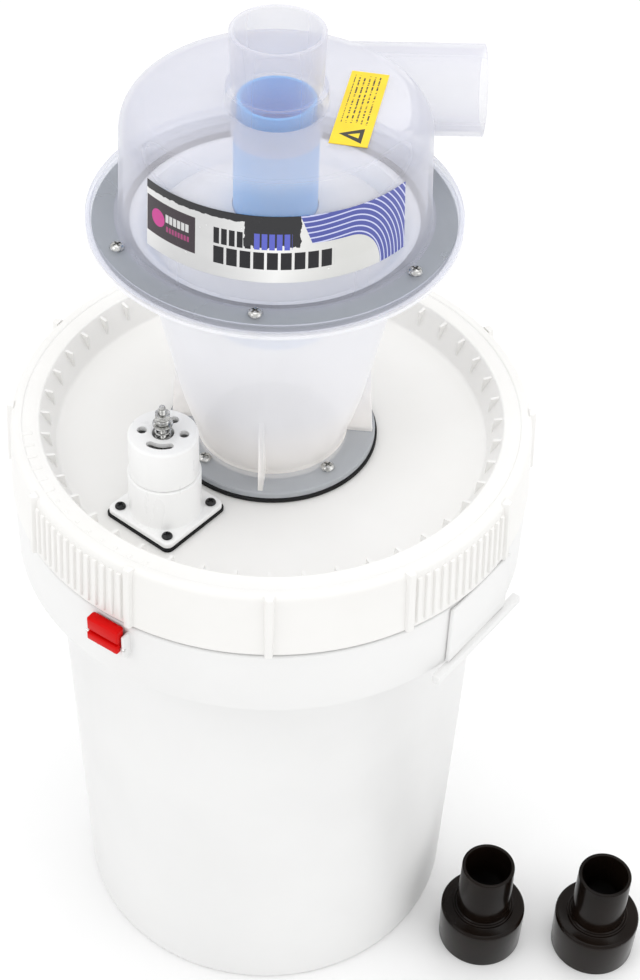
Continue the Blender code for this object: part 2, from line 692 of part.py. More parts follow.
def make_cyclone_seals():
    low = WELL_FLOOR + GAP
    high = low + BASE_SEAL_THICK
    base = ring("cone_base_seal", THROAT_RADIUS, BASE_SEAL_RADIUS, low, high, "black_rubber")
    base_holes = on_circle(BASE_SCREW_CIRCLE, BASE_SCREW_AZIMUTHS)
    drill(base, "base_seal_holes", SCREW_RADIUS + SCREW_CLEARANCE, low - CUT, high + CUT, base_holes)
    low = CONE_TOP + GAP
    high = low + FLANGE_SEAL_THICK
    outside = FLANGE_RADIUS - FLANGE_LIP_WIDTH - FLANGE_SEAL_INSET
    flange = ring("flange_seal", outside - FLANGE_SEAL_WIDTH, outside, low, high, "black_rubber")
    flange_holes = on_circle(FLANGE_SCREW_CIRCLE, FLANGE_SCREW_AZIMUTHS)
    drill(flange, "flange_seal_holes", SCREW_RADIUS + SCREW_CLEARANCE, low - CUT, high + CUT, flange_holes)


def dome_outline():
    """Flange, wall, rounded shoulder, outlet port and the socket inside it."""
    lip_inside = FLANGE_RADIUS - FLANGE_LIP_WIDTH
    shoulder = DOME_TOP - DOME_ROUND
    inner_round = DOME_ROUND - DOME_WALL
    centre = (DOME_TOP_RADIUS - DOME_ROUND, shoulder)
    collar_top = DOME_TOP + OUTLET_COLLAR_RISE
    spigot = PORT_RADIUS - PORT_DRAFT
    return [
        (FLANGE_RADIUS, DOME_BASE),
        (FLANGE_RADIUS, DOME_FOOT + FLANGE_LIP_RISE),
        (lip_inside, DOME_FOOT + FLANGE_LIP_RISE),
        (lip_inside, DOME_FOOT),
        (DOME_RADIUS + DOME_FILLET, DOME_FOOT),
        (DOME_RADIUS, DOME_FOOT + DOME_FILLET),
        *arc(centre, DOME_ROUND, 0, 90, 3),
        (OUTLET_COLLAR_RADIUS, DOME_TOP),
        (OUTLET_COLLAR_RADIUS, collar_top),
        (spigot, collar_top),
        (PORT_RADIUS, OUTLET_TOP),
        (PORT_RADIUS - PORT_WALL, OUTLET_TOP),
        (SOCKET_BORE, collar_top),
        (SOCKET_BORE, DOME_TOP - SOCKET_DEPTH),
        (spigot, DOME_TOP - SOCKET_DEPTH),
        (spigot, DOME_TOP - DOME_WALL),
        *arc(centre, inner_round, 90, 0, 3),
        (DOME_RADIUS - DOME_WALL, DOME_BASE),
    ]


def inlet_stub():
    """The inlet port outside the dome: its inner end stops halfway through the dome's wall."""
    bm = bmesh.new()
    height = DOME_TOP - INLET_BELOW_TOP
    place = Matrix.Translation((0, DOME_TOP_RADIUS - PORT_RADIUS, height)) @ Matrix.Rotation(pi / 2, 4, "Y")
    add_rod(bm, PORT_RADIUS, 0, INLET_REACH, sides=MEDIUM_SIDES, place=place)
    stub = object_of(bm, "inlet_shape")
    half = DOME_WALL / 2
    centre = (DOME_TOP_RADIUS - DOME_ROUND, DOME_TOP - DOME_ROUND)
    inside = [
        (0, DOME_BASE),
        (DOME_RADIUS - half, DOME_BASE),
        *arc(centre, DOME_ROUND - half, 0, 90, 3),
        (0, DOME_TOP - half),
    ]
    boolean(stub, turned("dome_core_shape", inside), "DIFFERENCE")
    return stub


def make_dome():
    dome = turned("cyclone_dome", dome_outline(), "clear_plastic")
    boolean(dome, inlet_stub(), "UNION")
    bm = bmesh.new()
    height = DOME_TOP - INLET_BELOW_TOP
    place = Matrix.Translation((0, DOME_TOP_RADIUS - PORT_RADIUS, height)) @ Matrix.Rotation(pi / 2, 4, "Y")
    add_rod(bm, PORT_RADIUS - PORT_WALL, BORE_START, INLET_REACH + CUT, sides=MEDIUM_SIDES, place=place)
    boolean(dome, object_of(bm, "inlet_bore_shape"), "DIFFERENCE")
    holes = on_circle(FLANGE_SCREW_CIRCLE, FLANGE_SCREW_AZIMUTHS)
    low, high = DOME_BASE - CUT, DOME_FOOT + CUT
    drill(dome, "dome_flange_holes", SCREW_RADIUS + SCREW_CLEARANCE, low, high, holes)


def make_vortex_finder():
    """Blue tube that plugs into the dome's socket, with a bell at its foot."""
    spigot = SOCKET_BORE - FINDER_CLEARANCE
    neck_top = DOME_TOP - SOCKET_DEPTH - 2 * GAP
    bell_top = CONE_TOP - BELL_TOP_BELOW_FLANGE + BELL_FLARE / 2
    bell_foot = bell_top - BELL_LENGTH
    outline = [
        (spigot, DOME_TOP + FINDER_RISE),
        (spigot, neck_top),
        (FINDER_RADIUS, neck_top),
        (FINDER_RADIUS, bell_top + BELL_FLARE),
        (BELL_RADIUS, bell_top),
        (BELL_RADIUS, bell_foot),
        (BELL_RADIUS - FINDER_WALL, bell_foot),
        (BELL_RADIUS - FINDER_WALL, bell_top - FINDER_WALL / 2),
        (FINDER_RADIUS - FINDER_WALL, bell_top + BELL_FLARE - FINDER_WALL / 2),
        (FINDER_RADIUS - FINDER_WALL, neck_top - FINDER_WALL),
        (spigot - FINDER_WALL, neck_top),
        (spigot - FINDER_WALL, DOME_TOP + FINDER_RISE),
    ]
    turned("vortex_finder", outline, "blue_plastic", sides=MEDIUM_SIDES)


def make_baffle():
    """White domed disc round the vortex finder. Dust falls through the gap at its edge."""
    bell_top = CONE_TOP - BELL_TOP_BELOW_FLANGE + BELL_FLARE / 2
    hub = FINDER_RADIUS + 2 * GAP
    top = bell_top + BELL_FLARE + BAFFLE_RISE / 2
    steps = 4
    crown = []
    for i in range(steps + 1):
        share = i / steps
        crown.append((hub + (BAFFLE_RADIUS - hub) * share, top - BAFFLE_RISE * share**2))
    under = [(radius, height - BAFFLE_THICK) for radius, height in reversed(crown)]
    turned("baffle", crown + under, "white_plastic", sides=MEDIUM_SIDES)


# Fasteners


def screw_outline(radius, head_radius, head_height, shank_length):
    """A pan head above 0 and its shank below."""
    return [
        (0, head_height),
        (head_radius * 0.6, head_height),
        (head_radius, head_height * 0.4),
        (head_radius, 0),
        (radius, 0),
        (radius, -shank_length),
        (0, -shank_length),
    ]


def add_screw(name, place, shank_length, material="zinc", small=False):
    radius = VALVE_SCREW_RADIUS if small else SCREW_RADIUS
    head_radius = VALVE_SCREW_HEAD_RADIUS if small else SCREW_HEAD_RADIUS
    head_height = VALVE_SCREW_HEAD_HEIGHT if small else SCREW_HEAD_HEIGHT
    outline = screw_outline(radius, head_radius, head_height, shank_length)
    turned(name, outline, material, place, sides=8)


def add_nut(name, place, across, thickness, bore):
    """A hexagon nut, standing on its place."""
    bm = bmesh.new()
    add_rod(bm, across / 2 / cos(pi / 6), 0, thickness, sides=6, place=place)
    nut = object_of(bm, name, "zinc")
    drill(nut, name + "_bore", bore, -thickness, 2 * thickness, [(0, 0)], place)


def make_base_screws():
    head = CONE_FLOOR + GAP
    shank = head - WELL_UNDERSIDE + NUT_STACK
    for number, azimuth in enumerate(BASE_SCREW_AZIMUTHS, 1):
        add_screw(f"base_screw_{number}", at_azimuth(azimuth, BASE_SCREW_CIRCLE, head), shank)
        low = WELL_UNDERSIDE - GAP - NUT_THICK
        place = at_azimuth(azimuth, BASE_SCREW_CIRCLE, low)
        add_nut(f"base_nut_{number}", place, NUT_ACROSS, NUT_THICK, SCREW_RADIUS + GAP)


def make_flange_screws():
    head = DOME_FOOT + GAP
    clamped = CONE_TOP - FLANGE_THICK
    shank = head - clamped + NUT_STACK
    for number, azimuth in enumerate(FLANGE_SCREW_AZIMUTHS, 1):
        add_screw(f"flange_screw_{number}", at_azimuth(azimuth, FLANGE_SCREW_CIRCLE, head), shank)
        place = at_azimuth(azimuth, FLANGE_SCREW_CIRCLE, clamped - GAP - NUT_THICK)
        add_nut(f"flange_nut_{number}", place, NUT_ACROSS, NUT_THICK, SCREW_RADIUS + GAP)


# Relief valve


def rounded_plate(name, side, low, high, material=None):
    """A square plate with rounded corners, turned to face the valve's azimuth."""
    bm = bmesh.new()
    half = side / 2 - VALVE_CORNER
    corners = ((half, half, 0), (-half, half, 90), (-half, -half, 180), (half, -half, 270))
    points = []
    for x, y, start in corners:
        points += arc((x, y), VALVE_CORNER, start, start + 90, 4)
    place = at_azimuth(VALVE_AZIMUTH, VALVE_CIRCLE)
    add_prism(bm, [(x, y, low) for x, y in points], (0, 0, high - low))
    return object_of(bm, name, material, place)


def make_valve_body():
    valve = at_azimuth(VALVE_AZIMUTH, VALVE_CIRCLE)
    corners = valve_corners(VALVE_SCREW_SPACING)
    low = WELL_FLOOR + GAP
    high = low + VALVE_SEAL_THICK
    seal = rounded_plate("valve_seal", VALVE_PLATE + 2 * VALVE_SEAL_OVERHANG, low, high, "black_rubber")
    hole = VALVE_SCREW_RADIUS + SCREW_CLEARANCE
    drill(seal, "seal_screw_holes", hole, low - CUT, high + CUT, corners, valve)
    drill(seal, "seal_bore", VALVE_BORE, low - CUT, high + CUT, [(0, 0)], valve, SMALL_SIDES)

    body = rounded_plate("valve_body", VALVE_PLATE, VALVE_BASE, VALVE_DECK, "white_plastic")
    bm = bmesh.new()
    add_rod(bm, VALVE_BODY_RADIUS, VALVE_BASE + SINK, VALVE_BODY_TOP, sides=MEDIUM_SIDES, place=valve)
    boolean(body, object_of(bm, "valve_barrel_shape"), "UNION")
    drill(body, "valve_bore", VALVE_BORE, VALVE_BASE - CUT, VALVE_WEB_LOW, [(0, 0)], valve, SMALL_SIDES)
    low, high = VALVE_WEB_LOW - CUT, VALVE_BODY_TOP + CUT
    drill(body, "rod_guide", ROD_RADIUS + ROD_PLAY, low, high, [(0, 0)], valve)
    port_circle = (VALVE_BORE + ROD_RADIUS + ROD_PLAY) / 2
    ports = on_circle(port_circle, range(0, 360, 360 // VALVE_PORTS))
    drill(body, "valve_ports", VALVE_PORT_RADIUS, low, high, ports, valve)
    low, high = VALVE_BASE - CUT, VALVE_DECK + CUT
    drill(body, "body_screw_holes", hole, low, high, corners, valve)
    for number, (x, y) in enumerate(corners, 1):
        place = valve @ Matrix.Translation((x, y, VALVE_DECK + GAP))
        shank = VALVE_DECK + GAP - WELL_UNDERSIDE + VALVE_SCREW_END
        add_screw(f"valve_screw_{number}", place, shank, "black_plastic", small=True)


def make_valve_cap():
    valve = at_azimuth(VALVE_AZIMUTH, VALVE_CIRCLE)
    inside = VALVE_CAP_RADIUS - VALVE_CAP_WALL
    hole = SPRING_RADIUS + SPRING_WIRE + SPRING_PLAY
    outline = [
        (VALVE_CAP_RADIUS, CAP_BASE),
        (VALVE_CAP_RADIUS, CAP_TOP - VALVE_CAP_EDGE),
        (VALVE_CAP_RADIUS - VALVE_CAP_EDGE, CAP_TOP),
        (hole, CAP_TOP),
        (hole, CAP_TOP - VALVE_CAP_TOP),
        (inside, CAP_TOP - VALVE_CAP_TOP),
        (inside, CAP_BASE),
    ]
    cap = turned("valve_cap", outline, "white_plastic", valve, sides=MEDIUM_SIDES)
    low, high = CAP_TOP - VALVE_CAP_TOP - CUT, CAP_TOP + CUT
    middle = (hole + inside) / 2
    stretch = Matrix.Diagonal((CAP_PORT_STRETCH, 1, 1, 1))
    bm = bmesh.new()
    for azimuth in CAP_PORT_AZIMUTHS:
        oval = valve @ at_azimuth(azimuth - VALVE_AZIMUTH, middle) @ stretch
        add_rod(bm, CAP_PORT_RADIUS, low, high, sides=SMALL_SIDES, place=oval)
    boolean(cap, object_of(bm, "cap_port_shape"), "DIFFERENCE")
    inner, outer = middle - CAP_SLOT_WIDTH / 2, middle + CAP_SLOT_WIDTH / 2
    slot = [(inner, low), (outer, low), (outer, high), (inner, high)]
    start = -pi / 2 + radians(CAP_SLOT_AZIMUTH - CAP_SLOT_SPAN / 2 - VALVE_AZIMUTH)
    bm = bmesh.new()
    swept(bm, slot, start, radians(CAP_SLOT_SPAN), 10)
    boolean(cap, object_of(bm, "cap_slot_shape", place=valve), "DIFFERENCE")


def make_poppet():
    """Rod with its disc, seal, washer and nuts: all that moves when the valve opens."""
    valve = at_azimuth(VALVE_AZIMUTH, VALVE_CIRCLE)
    seal_top = VALVE_WEB_LOW - 2 * GAP
    seal_low = seal_top - POPPET_SEAL_THICK
    disc_top = seal_low - GAP
    outline = [
        (0, disc_top - POPPET_THICK),
        (POPPET_RADIUS, disc_top - POPPET_THICK),
        (POPPET_RADIUS, disc_top),
        (ROD_RADIUS, disc_top),
        (ROD_RADIUS, CAP_TOP + ROD_ABOVE_CAP),
        (0, CAP_TOP + ROD_ABOVE_CAP),
    ]
    turned("valve_poppet", outline, "zinc", valve, SMALL_SIDES)
    bore = ROD_RADIUS + GAP
    ring("poppet_seal", bore, POPPET_RADIUS, seal_low, seal_top, "black_rubber", valve, SMALL_SIDES)
    washer_low = SPRING_TOP + GAP
    washer_top = washer_low + WASHER_THICK
    washer_edge = SPRING_RADIUS + WASHER_OVERHANG
    ring("spring_washer", bore, washer_edge, washer_low, washer_top, "zinc", valve, SMALL_SIDES)
    for number in (1, 2):
        low = washer_top + GAP + (number - 1) * (ROD_NUT_THICK + GAP)
        place = valve @ Matrix.Translation((0, 0, low)) @ Matrix.Rotation(radians(22 * number), 4, "Z")
        add_nut(f"rod_nut_{number}", place, ROD_NUT_ACROSS, ROD_NUT_THICK, bore)


def make_spring():
    """A coil of wire standing on the valve body, as a bevelled curve."""
    low = VALVE_BODY_TOP + SPRING_WIRE + GAP
    high = SPRING_TOP - SPRING_WIRE
    steps = 8 * SPRING_TURNS
    curve = bpy.data.curves.new("valve_spring", "CURVE")
    curve.dimensions = "3D"
    curve.bevel_depth = SPRING_WIRE
    curve.bevel_resolution = 0
    curve.use_fill_caps = True
    spline = curve.splines.new("POLY")
    spline.points.add(steps)
    for i in range(steps + 1):
        angle = tau * SPRING_TURNS * i / steps
        height = low + (high - low) * i / steps
        spline.points[i].co = (SPRING_RADIUS * cos(angle), SPRING_RADIUS * sin(angle), height, 1)
    spring = bpy.data.objects.new("valve_spring", curve)
    curve.materials.append(finish("zinc"))
    bpy.context.collection.objects.link(spring)
    spring.matrix_world = at_azimuth(VALVE_AZIMUTH, VALVE_CIRCLE)


# Labels and adapters


def make_labels():
    """A curved label on the dome's front and a flat one on its top."""
    low = DOME_FOOT + LABEL_LOW
    lean = (DOME_RADIUS - DOME_TOP_RADIUS) / (DOME_TOP - DOME_ROUND - DOME_FOOT - DOME_FILLET)
    foot = DOME_RADIUS - lean * (LABEL_LOW - DOME_FILLET) + GAP
    head = foot - lean * LABEL_HEIGHT
    outline = [
        (foot, low),
        (foot + LABEL_THICK, low),
        (head + LABEL_THICK, low + LABEL_HEIGHT),
        (head, low + LABEL_HEIGHT),
    ]
    bm = bmesh.new()
    first, last = LABEL_SPAN
    swept(bm, outline, radians(first - 90), radians(last - first), 20)
    object_of(bm, "front_label", "silver_label")
    bm = bmesh.new()
    width, length = STICKER_SIZE
    low = DOME_TOP + GAP
    add_block(bm, (-width / 2, -length / 2, low), (width / 2, length / 2, low + LABEL_THICK))
    place = Matrix.Translation((*STICKER_CENTRE, 0)) @ Matrix.Rotation(radians(STICKER_TURN), 4, "Z")
    object_of(bm, "top_sticker", "yellow_label", place)


def make_adapters():
    """Two loose reducers: the cup slides over a hose port, the neck takes a smaller hose."""
    cup_bore = PORT_RADIUS + CUP_CLEARANCE
    neck_bore = NECK_RADIUS - NECK_WALL
    shoulder_under = CUP_HEIGHT - (CUP_RADIUS - cup_bore)
    bead_top = CUP_HEIGHT + BEAD_RISE
    outline = [
        (CUP_RADIUS - CUP_DRAFT, 0),
        (CUP_RADIUS, CUP_HEIGHT - CUP_EDGE),
        (CUP_RADIUS - CUP_EDGE, CUP_HEIGHT),
        (NECK_RADIUS + BEAD_WIDTH, CUP_HEIGHT),
        (NECK_RADIUS + BEAD_WIDTH * 0.7, bead_top),
        (NECK_RADIUS, bead_top),
        (NECK_RADIUS - NECK_DRAFT, ADAPTER_HEIGHT),
        (neck_bore, ADAPTER_HEIGHT),
        (neck_bore, shoulder_under),
        (cup_bore, shoulder_under),
        (cup_bore, 0),
    ]
    for number, (azimuth, distance) in enumerate(ADAPTER_PLACES, 1):
        centre = at_azimuth(azimuth, PAIL_BASE_RADIUS + distance).translation
        place = Matrix.Translation(centre)
        turned(f"hose_adapter_{number}", outline, "black_plastic", place, sides=MEDIUM_SIDES)


clear_scene()
make_pail()
make_latch()
make_lid()
make_lid_seal()
make_cone()
make_cyclone_seals()
make_dome()
make_vortex_finder()
make_baffle()
make_base_screws()
make_flange_screws()
make_valve_body()
make_valve_cap()
make_poppet()
make_spring()
make_labels()
make_adapters()
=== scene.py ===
# %% [markdown]
# # A cyclone dust separator on a pail
# The real object is a clear plastic cyclone bolted to the screw lid of a tall white pail. Dusty air enters
# by the side port, spins, drops its dust through the cone into the pail, and leaves clean by the upright
# port. The frame below is the exact working model. This script gives it its finished surfaces.

# %% Load the frame
from math import cos, pi, radians, sin, tau

import bmesh
import bpy
from mathutils import Matrix, Vector


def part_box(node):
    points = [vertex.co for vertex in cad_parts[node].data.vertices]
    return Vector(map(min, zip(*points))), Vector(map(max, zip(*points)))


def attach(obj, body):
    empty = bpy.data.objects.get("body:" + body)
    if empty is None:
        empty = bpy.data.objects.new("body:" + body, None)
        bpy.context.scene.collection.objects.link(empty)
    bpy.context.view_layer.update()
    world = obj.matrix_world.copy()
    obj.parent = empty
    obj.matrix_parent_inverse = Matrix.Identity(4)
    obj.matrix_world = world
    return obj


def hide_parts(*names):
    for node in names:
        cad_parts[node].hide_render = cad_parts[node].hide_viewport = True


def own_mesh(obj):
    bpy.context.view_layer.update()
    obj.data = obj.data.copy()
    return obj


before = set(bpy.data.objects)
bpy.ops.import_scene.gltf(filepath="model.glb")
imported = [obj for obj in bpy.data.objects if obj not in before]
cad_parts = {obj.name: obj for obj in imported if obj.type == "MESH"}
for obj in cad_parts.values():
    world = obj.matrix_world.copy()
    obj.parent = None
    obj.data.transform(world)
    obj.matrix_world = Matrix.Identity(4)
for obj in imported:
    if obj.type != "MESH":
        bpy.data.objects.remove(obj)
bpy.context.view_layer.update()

# %% [markdown]
# ## Sizes
# Every height comes from the frame's own boxes, so a piece always lands where the working model has it.
# The sizes that a box can't tell are named here if several pieces share them, and otherwise in the
# function that uses them.

# %% Heights and radii read from the frame
def low(node):
    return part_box(node)[0][2]


def high(node):
    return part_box(node)[1][2]


GAP = 0.0003
RIB_RISE = 0.0022
FLANGE_THICK = 0.0026
SKIRT_GAP, COLLAR_HEIGHT = 0.0023, 0.0465
OUTLET_RISE, INLET_DROP = 0.0432, 0.0275

PAIL_TOP = high("pail")
RIM_TOP = high("lid") - RIB_RISE
WELL_FLOOR = low("cone_base_seal") - GAP
CONE_BASE = low("cyclone_cone")
CONE_TOP = high("cyclone_cone")
DOME_BASE = low("cyclone_dome")
DOME_FOOT = DOME_BASE + FLANGE_THICK
OUTLET_TOP = high("cyclone_dome")
DOME_TOP = OUTLET_TOP - OUTLET_RISE
SKIRT_FOOT = low("lid")
COLLAR_TOP = SKIRT_FOOT - SKIRT_GAP
COLLAR_FOOT = COLLAR_TOP - COLLAR_HEIGHT

PAIL_BASE_RADIUS, PAIL_NECK_RADIUS = 0.1273, 0.139
COLLAR_RADIUS = 0.157
LID_RADIUS = 0.1556
FLANGE_RADIUS = 0.1038
DOME_RADIUS, DOME_TOP_RADIUS, DOME_ROUND, DOME_WALL = 0.0858, 0.0835, 0.015, 0.0025
PORT_RADIUS, PORT_WALL = 0.0254, 0.0025
INLET_Y = DOME_TOP_RADIUS - PORT_RADIUS
INLET_Z = DOME_TOP - INLET_DROP
INLET_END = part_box("cyclone_dome")[1][0]
ROUND_STEPS = 160
print("cyclone from", round(CONE_BASE, 4), "to", round(OUTLET_TOP, 4))

# %% [markdown]
# ## Camera
# The view is from the front and from above, with the camera rolled by two degrees. Three turns in order,
# yaw, pitch and roll, are easier to read than one matrix of nine numbers.

# %% Place the camera
CAMERA_PLACE = (0.0, -0.8945, 1.2144)
CAMERA_YAW, CAMERA_PITCH, CAMERA_ROLL = -1.652, 43.872, 2.0185
CAMERA_LENS, SENSOR_WIDTH = 73.54, 36
CAMERA_SHIFT = (0.0074, -0.0047)

camera_data = bpy.data.cameras.new("camera")
camera_data.lens = CAMERA_LENS
camera_data.sensor_width = SENSOR_WIDTH
camera_data.shift_x, camera_data.shift_y = CAMERA_SHIFT
camera_data.clip_start = 0.01
camera = bpy.data.objects.new("camera", camera_data)
bpy.context.collection.objects.link(camera)
aim = Matrix.Rotation(radians(CAMERA_YAW), 4, "Z") @ Matrix.Rotation(radians(90 - CAMERA_PITCH), 4, "X")
roll = Matrix.Rotation(radians(CAMERA_ROLL), 4, "Z")
camera.matrix_world = Matrix.Translation(CAMERA_PLACE) @ aim @ roll
bpy.context.scene.camera = camera
print("camera", [round(v, 3) for v in camera.location])

# %% [markdown]
# ## Floor and light
# White plastic needs light from all round with one side a little stronger, or its roundness is lost. A
# pale sky gives the even part. A large lamp overhead keeps the floor and the lid white while the pail's
# sides stay a shade darker, and one on the left with a weak one on the right shapes the front.

# %% Floor, sky and lamps
SKY_LEVEL = 0.92
FLOOR_HALF = 6.0
WALLS_DEEP = 32
LAMPS = (
    # name, place, target, size, power
    ("key", (-1.9, -1.1, 2.1), (0, 0, 0.35), 1.4, 10.0),
    ("fill", (1.5, -0.9, 1.2), (0, 0, 0.3), 1.4, 4.0),
    ("top", (0.2, 0.2, 2.2), (0, 0, 0.4), 1.6, 10.0),
)


def floor_plane(size):
    bm = bmesh.new()
    bmesh.ops.create_grid(bm, x_segments=1, y_segments=1, size=size)
    mesh = bpy.data.meshes.new("floor")
    bm.to_mesh(mesh)
    bm.free()
    obj = bpy.data.objects.new("floor", mesh)
    bpy.context.collection.objects.link(obj)
    return obj


def soft_lamp(name, place, target, size, power):
    data = bpy.data.lights.new(name, "AREA")
    data.size = size
    data.energy = power
    obj = bpy.data.objects.new(name, data)
    bpy.context.collection.objects.link(obj)
    direction = Vector(target) - Vector(place)
    obj.rotation_euler = direction.to_track_quat("-Z", "Y").to_euler()
    obj.location = place


floor = floor_plane(FLOOR_HALF)
for lamp in LAMPS:
    soft_lamp(*lamp)
world = bpy.data.worlds.new("sky")
world.use_nodes = True
world.node_tree.nodes["Background"].inputs["Color"].default_value = (1, 1, 1, 1)
world.node_tree.nodes["Background"].inputs["Strength"].default_value = SKY_LEVEL
bpy.context.scene.world = world
bpy.context.scene.view_settings.view_transform = "Standard"
bpy.context.scene.cycles.transparent_max_bounces = WALLS_DEEP
print("lamps", len(LAMPS))

# %% [markdown]
# ## Writing shaders as sums
# A shader is a graph of small nodes, and a formula such as a ring's mask needs many. The class below wraps
# a socket, so that an expression on values adds its Math nodes by itself.

# %% A socket that can be added, multiplied and compared
class Value:
    """A number that changes over the surface."""

    def __init__(self, board, socket):
        self.board, self.socket = board, socket

    def math(self, operation, *others):
        inputs = dict(enumerate((self, *others)))
        return self.board.node("ShaderNodeMath", {"operation": operation}, inputs)

    def __add__(self, other):
        return self.math("ADD", other)

    def __sub__(self, other):
        return self.math("SUBTRACT", other)

    def __rsub__(self, other):
        return self.board.node("ShaderNodeMath", {"operation": "SUBTRACT"}, {0: other, 1: self})

    def __mul__(self, other):
        return self.math("MULTIPLY", other)

    def __truediv__(self, other):
        return self.math("DIVIDE", other)

    def __gt__(self, other):
        return self.math("GREATER_THAN", other)

    def __lt__(self, other):
        return self.math("LESS_THAN", other)

    __radd__ = __add__
    __rmul__ = __mul__


class Board:
    """One material and the nodes on it."""

    def __init__(self, name):
        self.material = bpy.data.materials.new(name)
        self.material.use_nodes = True
        self.tree = self.material.node_tree
        self.shader = self.tree.nodes["Principled BSDF"]

    def node(self, kind, settings, inputs, output=0):
        """Adds a node: its settings first, then the value or link of each input."""
        node = self.tree.nodes.new(kind)
        for key, value in settings.items():
            if key == "stops":
                ramp = node.color_ramp
                for element, (position, colour) in zip(ramp.elements, value):
                    element.position, element.color = position, (*colour, 1)
                for position, colour in value[2:]:
                    ramp.elements.new(position).color = (*colour, 1)
            else:
                setattr(node, key, value)
        for key, value in inputs.items():
            if isinstance(value, Value):
                self.tree.links.new(value.socket, node.inputs[key])
            else:
                node.inputs[key].default_value = value
        return Value(self, node.outputs[output])

    def place(self):
        """The point on the piece, in metres."""
        return self.node("ShaderNodeTexCoord", {}, {}, "Object")

    def xyz(self, point=None):
        point = point or self.place()
        return [self.node("ShaderNodeSeparateXYZ", {}, {0: point}, i) for i in range(3)]

    def noise(self, scale, detail=3.0, stretch=(1, 1, 1)):
        """Cloudy values round one half."""
        point = self.node("ShaderNodeMapping", {}, {"Vector": self.place(), "Scale": stretch})
        inputs = {"Vector": point, "Scale": scale, "Detail": detail}
        return self.node("ShaderNodeTexNoise", {}, inputs, "Fac")

    def ramp(self, factor, stops):
        return self.node("ShaderNodeValToRGB", {"stops": stops}, {0: factor}, "Color")

    def mix(self, factor, first, second):
        """A blend of two colours: each is a colour or a link."""
        first, second = [c if isinstance(c, Value) else (*c, 1) for c in (first, second)]
        return self.node("ShaderNodeMix", {"data_type": "RGBA"}, {0: factor, 6: first, 7: second}, 2)

    def bump(self, height, distance, strength=1.0):
        inputs = {"Height": height, "Distance": distance, "Strength": strength}
        self.put("Normal", self.node("ShaderNodeBump", {}, inputs))

    def put(self, name, value):
        """Sets a socket of the main shader by a number, a colour or a link."""
        if isinstance(value, Value):
            self.tree.links.new(value.socket, self.shader.inputs[name])
        else:
            self.shader.inputs[name].default_value = value


# %% [markdown]
# ## The finishes
# Moulded polyethylene is not one flat white. It is cloudy, slightly warmer where it is thick, and carries
# fine scuffs that catch light. Each finish below mixes those in at their real scale.

# %% White moulded plastic
def white_plastic(name, colour, shade, gloss):
    board = Board(name)
    cloud = board.noise(9.0, 4.0)
    board.put("Base Color", board.ramp(cloud, [(0.35, shade), (0.65, colour)]))
    scuffs = board.noise(70.0, 6.0, (1, 1, 0.25))
    board.put("Roughness", scuffs * 0.22 + (gloss - 0.11))
    board.bump(board.noise(420.0, 2.0) + board.noise(26.0, 2.0) * 2.0, 0.00006, 0.6)
    board.put("IOR", 1.5)
    return board.material


PAIL_WHITE = white_plastic("pail_white", (0.845, 0.845, 0.84), (0.815, 0.815, 0.81), 0.42)
LID_WHITE = white_plastic("lid_white", (0.875, 0.868, 0.85), (0.84, 0.832, 0.81), 0.36)
VALVE_WHITE = white_plastic("valve_white", (0.90, 0.90, 0.895), (0.87, 0.87, 0.865), 0.30)
BAFFLE_WHITE = white_plastic("baffle_white", (0.86, 0.86, 0.87), (0.83, 0.83, 0.84), 0.22)
FLOOR_PALE = white_plastic("floor_pale", (0.96, 0.96, 0.96), (0.955, 0.955, 0.955), 0.8)
floor.data.materials.append(FLOOR_PALE)


# %% [markdown]
# Milky polypropylene hides some of what is behind it and shows the rest. Light that crosses the wall at a
# glancing angle passes more plastic, so the wall looks denser at the outline. Alpha carries this: a base
# value, more at the edge, and faint streaks where the plastic flowed in the mould. A flange lies flat on a
# black seal, so its share is set apart from the wall's: the seal must darken it to an even grey. Light
# that enters the milk also scatters inside and leaves again in the shade, and a faint painted glow stands
# for it: the wall emits a share of its colour, and the foot glows brighter than the wall above it.

# %% Milky translucent plastic
GLOW_ABOVE = 0.4


def milky_plastic(name, wall, foot, flange, glow):
    """Wall: colour, cover, edge cover. Foot: colour, height, span. Flange: radii, height, colour, cover."""
    board = Board(name)
    x, y, z = board.xyz()
    wall_colour, cover, edge_cover = wall
    foot_colour, foot_height, span = foot
    flange_inside, flange_outside, flange_height, flange_colour, flange_cover = flange
    share = board.node("ShaderNodeMapRange", {}, {0: z, 1: foot_height, 2: foot_height + span})
    distance = (x * x + y * y).math("SQRT")
    on_flange = (distance > flange_inside) * (distance < flange_outside) * (z < flange_height)
    colour = board.mix(share, foot_colour, wall_colour)
    board.put("Base Color", board.mix(on_flange, colour, flange_colour))
    # Painted glow: the emission is the foot's full colour at the foot and GLOW_ABOVE of the wall's colour
    # higher up.
    painted_glow = board.mix(share, foot_colour, tuple(channel * GLOW_ABOVE for channel in wall_colour))
    board.put("Emission Color", board.mix(on_flange, painted_glow, (0.0, 0.0, 0.0)))
    board.put("Emission Strength", glow)
    facing = board.node("ShaderNodeLayerWeight", {}, {"Blend": 0.35}, "Facing")
    streaks = board.noise(16.0, 3.0, (1, 1, 0.35)) * 0.10
    wall_alpha = facing * (edge_cover - cover) + streaks + (cover - 0.05)
    board.put("Alpha", wall_alpha * (1 - on_flange) + (streaks + (flange_cover - 0.05)) * on_flange)
    board.put("Roughness", board.noise(60.0, 3.0) * 0.14 + 0.28)
    board.bump(board.noise(90.0, 2.0), 0.00008, 0.5)
    board.put("IOR", 1.49)
    return board.material


